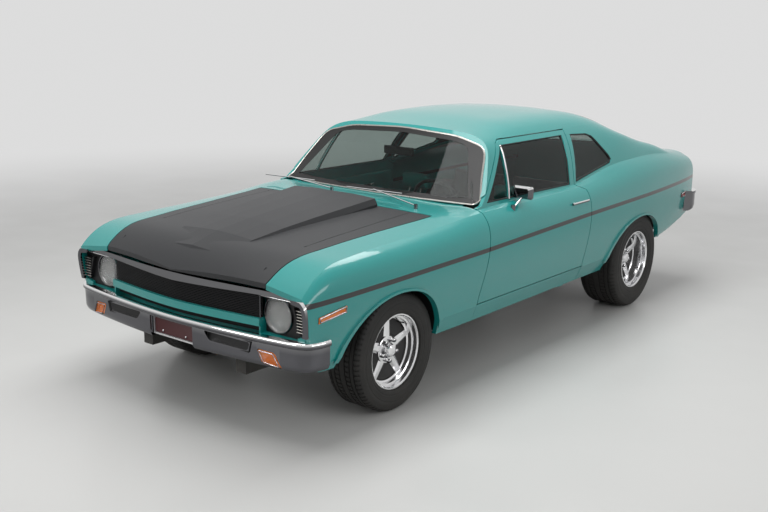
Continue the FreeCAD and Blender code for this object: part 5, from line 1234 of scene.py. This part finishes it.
class CAR_OT_stage(bpy.types.Operator):
    """Sets the floor, the lights and the camera"""
    bl_idname = "car.stage"
    bl_label = "Stage"

    def execute(self, context):
        stage = settings("stage")
        nothing_selected()
        bpy.ops.mesh.primitive_circle_add(vertices=96, radius=70.0, fill_type="NGON",
                                          location=(0.0, 0.0, -0.001))
        floor = placed(context.object)
        floor.name = "floor"
        material, tree, shader = plain_material("studio_floor", stage.floor, 0.0, 0.35)
        add_roughness(tree, shader, placed_group(tree, "grain", Scale=1.5, Detail=3.0),
                      0.30, 0.45)
        # Between 3.2 and 10 m from the car the floor turns to the background's own paleness.
        place, reach = added(tree, "TexCoord"), added(tree, "VectorMath", "LENGTH")
        far_off = added(tree, "MapRange", From_Min=3.2, From_Max=10.0)
        far_off.interpolation_type = "SMOOTHSTEP"
        rays, seen = added(tree, "LightPath"), added(tree, "Math", "MAXIMUM")
        share, blend = added(tree, "Math", "MULTIPLY"), added(tree, "MixShader")
        pale = added(tree, "Emission", Color=(stage.pale, stage.pale, stage.pale, 1.0))
        wires(tree, (place, "Object", reach, 0), (reach, "Value", far_off, "Value"),
              (rays, "Is Camera Ray", seen, 0), (rays, "Is Glossy Ray", seen, 1),
              (seen, 0, share, 0), (far_off, "Result", share, 1), (share, 0, blend, "Fac"),
              (shader, "BSDF", blend, 1), (pale, 0, blend, 2),
              (blend, 0, tree.nodes["Material Output"], "Surface"))
        floor.data.materials.append(material)

        world = context.scene.world or bpy.data.worlds.new("studio")
        context.scene.world = world
        world.use_nodes = True
        tree = world.node_tree
        tree.nodes.clear()
        white = (1.0, 1.0, 1.0, 1.0)
        even = added(tree, "Background", Color=white, Strength=stage.world)
        backdrop = added(tree, "Background", Color=white, Strength=stage.pale)
        rays, mix, out = (added(tree, kind) for kind in ("LightPath", "MixShader", "OutputWorld"))
        seen, mirrored = added(tree, "Math", "MAXIMUM"), added(tree, "Math", "MAXIMUM")
        wires(tree, (rays, "Is Camera Ray", seen, 0), (rays, "Is Glossy Ray", mirrored, 0),
              (rays, "Is Transmission Ray", mirrored, 1), (mirrored, 0, seen, 1),
              (seen, 0, mix, "Fac"), (even, 0, mix, 1), (backdrop, 0, mix, 2),
              (mix, 0, out, "Surface"))

        # Name, place, aim, width, depth and power of each lamp.
        for name, place, aim, wide, deep, power in (
                ("ceiling", (0.0, -0.5, 4.6), (0.0, 0.0, 0.0), 2.4, 6.5, 240.0),
                ("side", (5.6, -1.0, 2.6), (0.6, 0.0, 0.6), 5.0, 1.2, 70.0),
                ("front", (-1.5, -6.5, 3.2), (0.0, -1.5, 0.6), 3.0, 1.2, 70.0)):
            bpy.ops.object.light_add(type="AREA", location=place)
            lamp = context.object
            lamp.name = name
            lamp.data.shape = "RECTANGLE"
            lamp.data.size = wide
            lamp.data.size_y = deep
            lamp.data.energy = power
            look = Vector(aim) - Vector(place)
            lamp.rotation_euler = look.to_track_quat("-Z", "Y").to_euler()

        bpy.ops.object.camera_add(location=CAMERA_PLACE)
        camera = context.object
        camera.name = "photo_camera"
        yaw, pitch, roll = (math.radians(angle) for angle in CAMERA_TURN)
        look = Vector((math.sin(yaw) * math.cos(pitch), math.cos(yaw) * math.cos(pitch),
                       -math.sin(pitch)))
        level = Vector((math.cos(yaw), -math.sin(yaw), 0.0))
        upright = level.cross(look)
        right = math.cos(roll) * level + math.sin(roll) * upright
        top = -math.sin(roll) * level + math.cos(roll) * upright
        camera.rotation_euler = Matrix((right, top, -look)).transposed().to_euler()
        camera.data.lens = stage.lens
        camera.data.sensor_width = 36.0
        context.scene.camera = camera
        context.scene.view_settings.view_transform = "Standard"
        return {"FINISHED"}


ORDER = ("dress", "tyres", "wheel_details", "window_trim", "glass_trim", "lamps",
         "front_bumper", "front_seats", "rear_seat", "door_panels", "dash_details", "stage")


class CAR_PT_parts(bpy.types.Panel):
    bl_label = "Muscle car"
    bl_idname = "CAR_PT_parts"
    bl_space_type = "VIEW_3D"
    bl_region_type = "UI"
    bl_category = "Muscle car"

    def draw(self, context):
        for name in ORDER:
            self.layout.operator("car." + name)
        for kind in GROUPS:
            values = settings(kind)
            for key in values.__annotations__:
                self.layout.prop(values, key)


GROUPS = {"paint": PaintSettings, "trim": TrimSettings, "tyre": TyreSettings,
          "stage": StageSettings}
CLASSES = (*GROUPS.values(), CAR_OT_dress, CAR_OT_tyres, CAR_OT_wheel_details,
           CAR_OT_window_trim, CAR_OT_glass_trim, CAR_OT_lamps, CAR_OT_front_bumper,
           CAR_OT_front_seats, CAR_OT_rear_seat, CAR_OT_door_panels, CAR_OT_dash_details,
           CAR_OT_stage, CAR_PT_parts)


def register():
    for kind in CLASSES:
        bpy.utils.register_class(kind)
    for kind, cls in GROUPS.items():
        setattr(bpy.types.Scene, "car_" + kind, PointerProperty(type=cls))


def unregister():
    for kind in GROUPS:
        delattr(bpy.types.Scene, "car_" + kind)
    for kind in reversed(CLASSES):
        bpy.utils.unregister_class(kind)


def main():
    register()
    for name in ORDER:
        getattr(bpy.ops.car, name)()


if __name__ == "__main__":
    main()
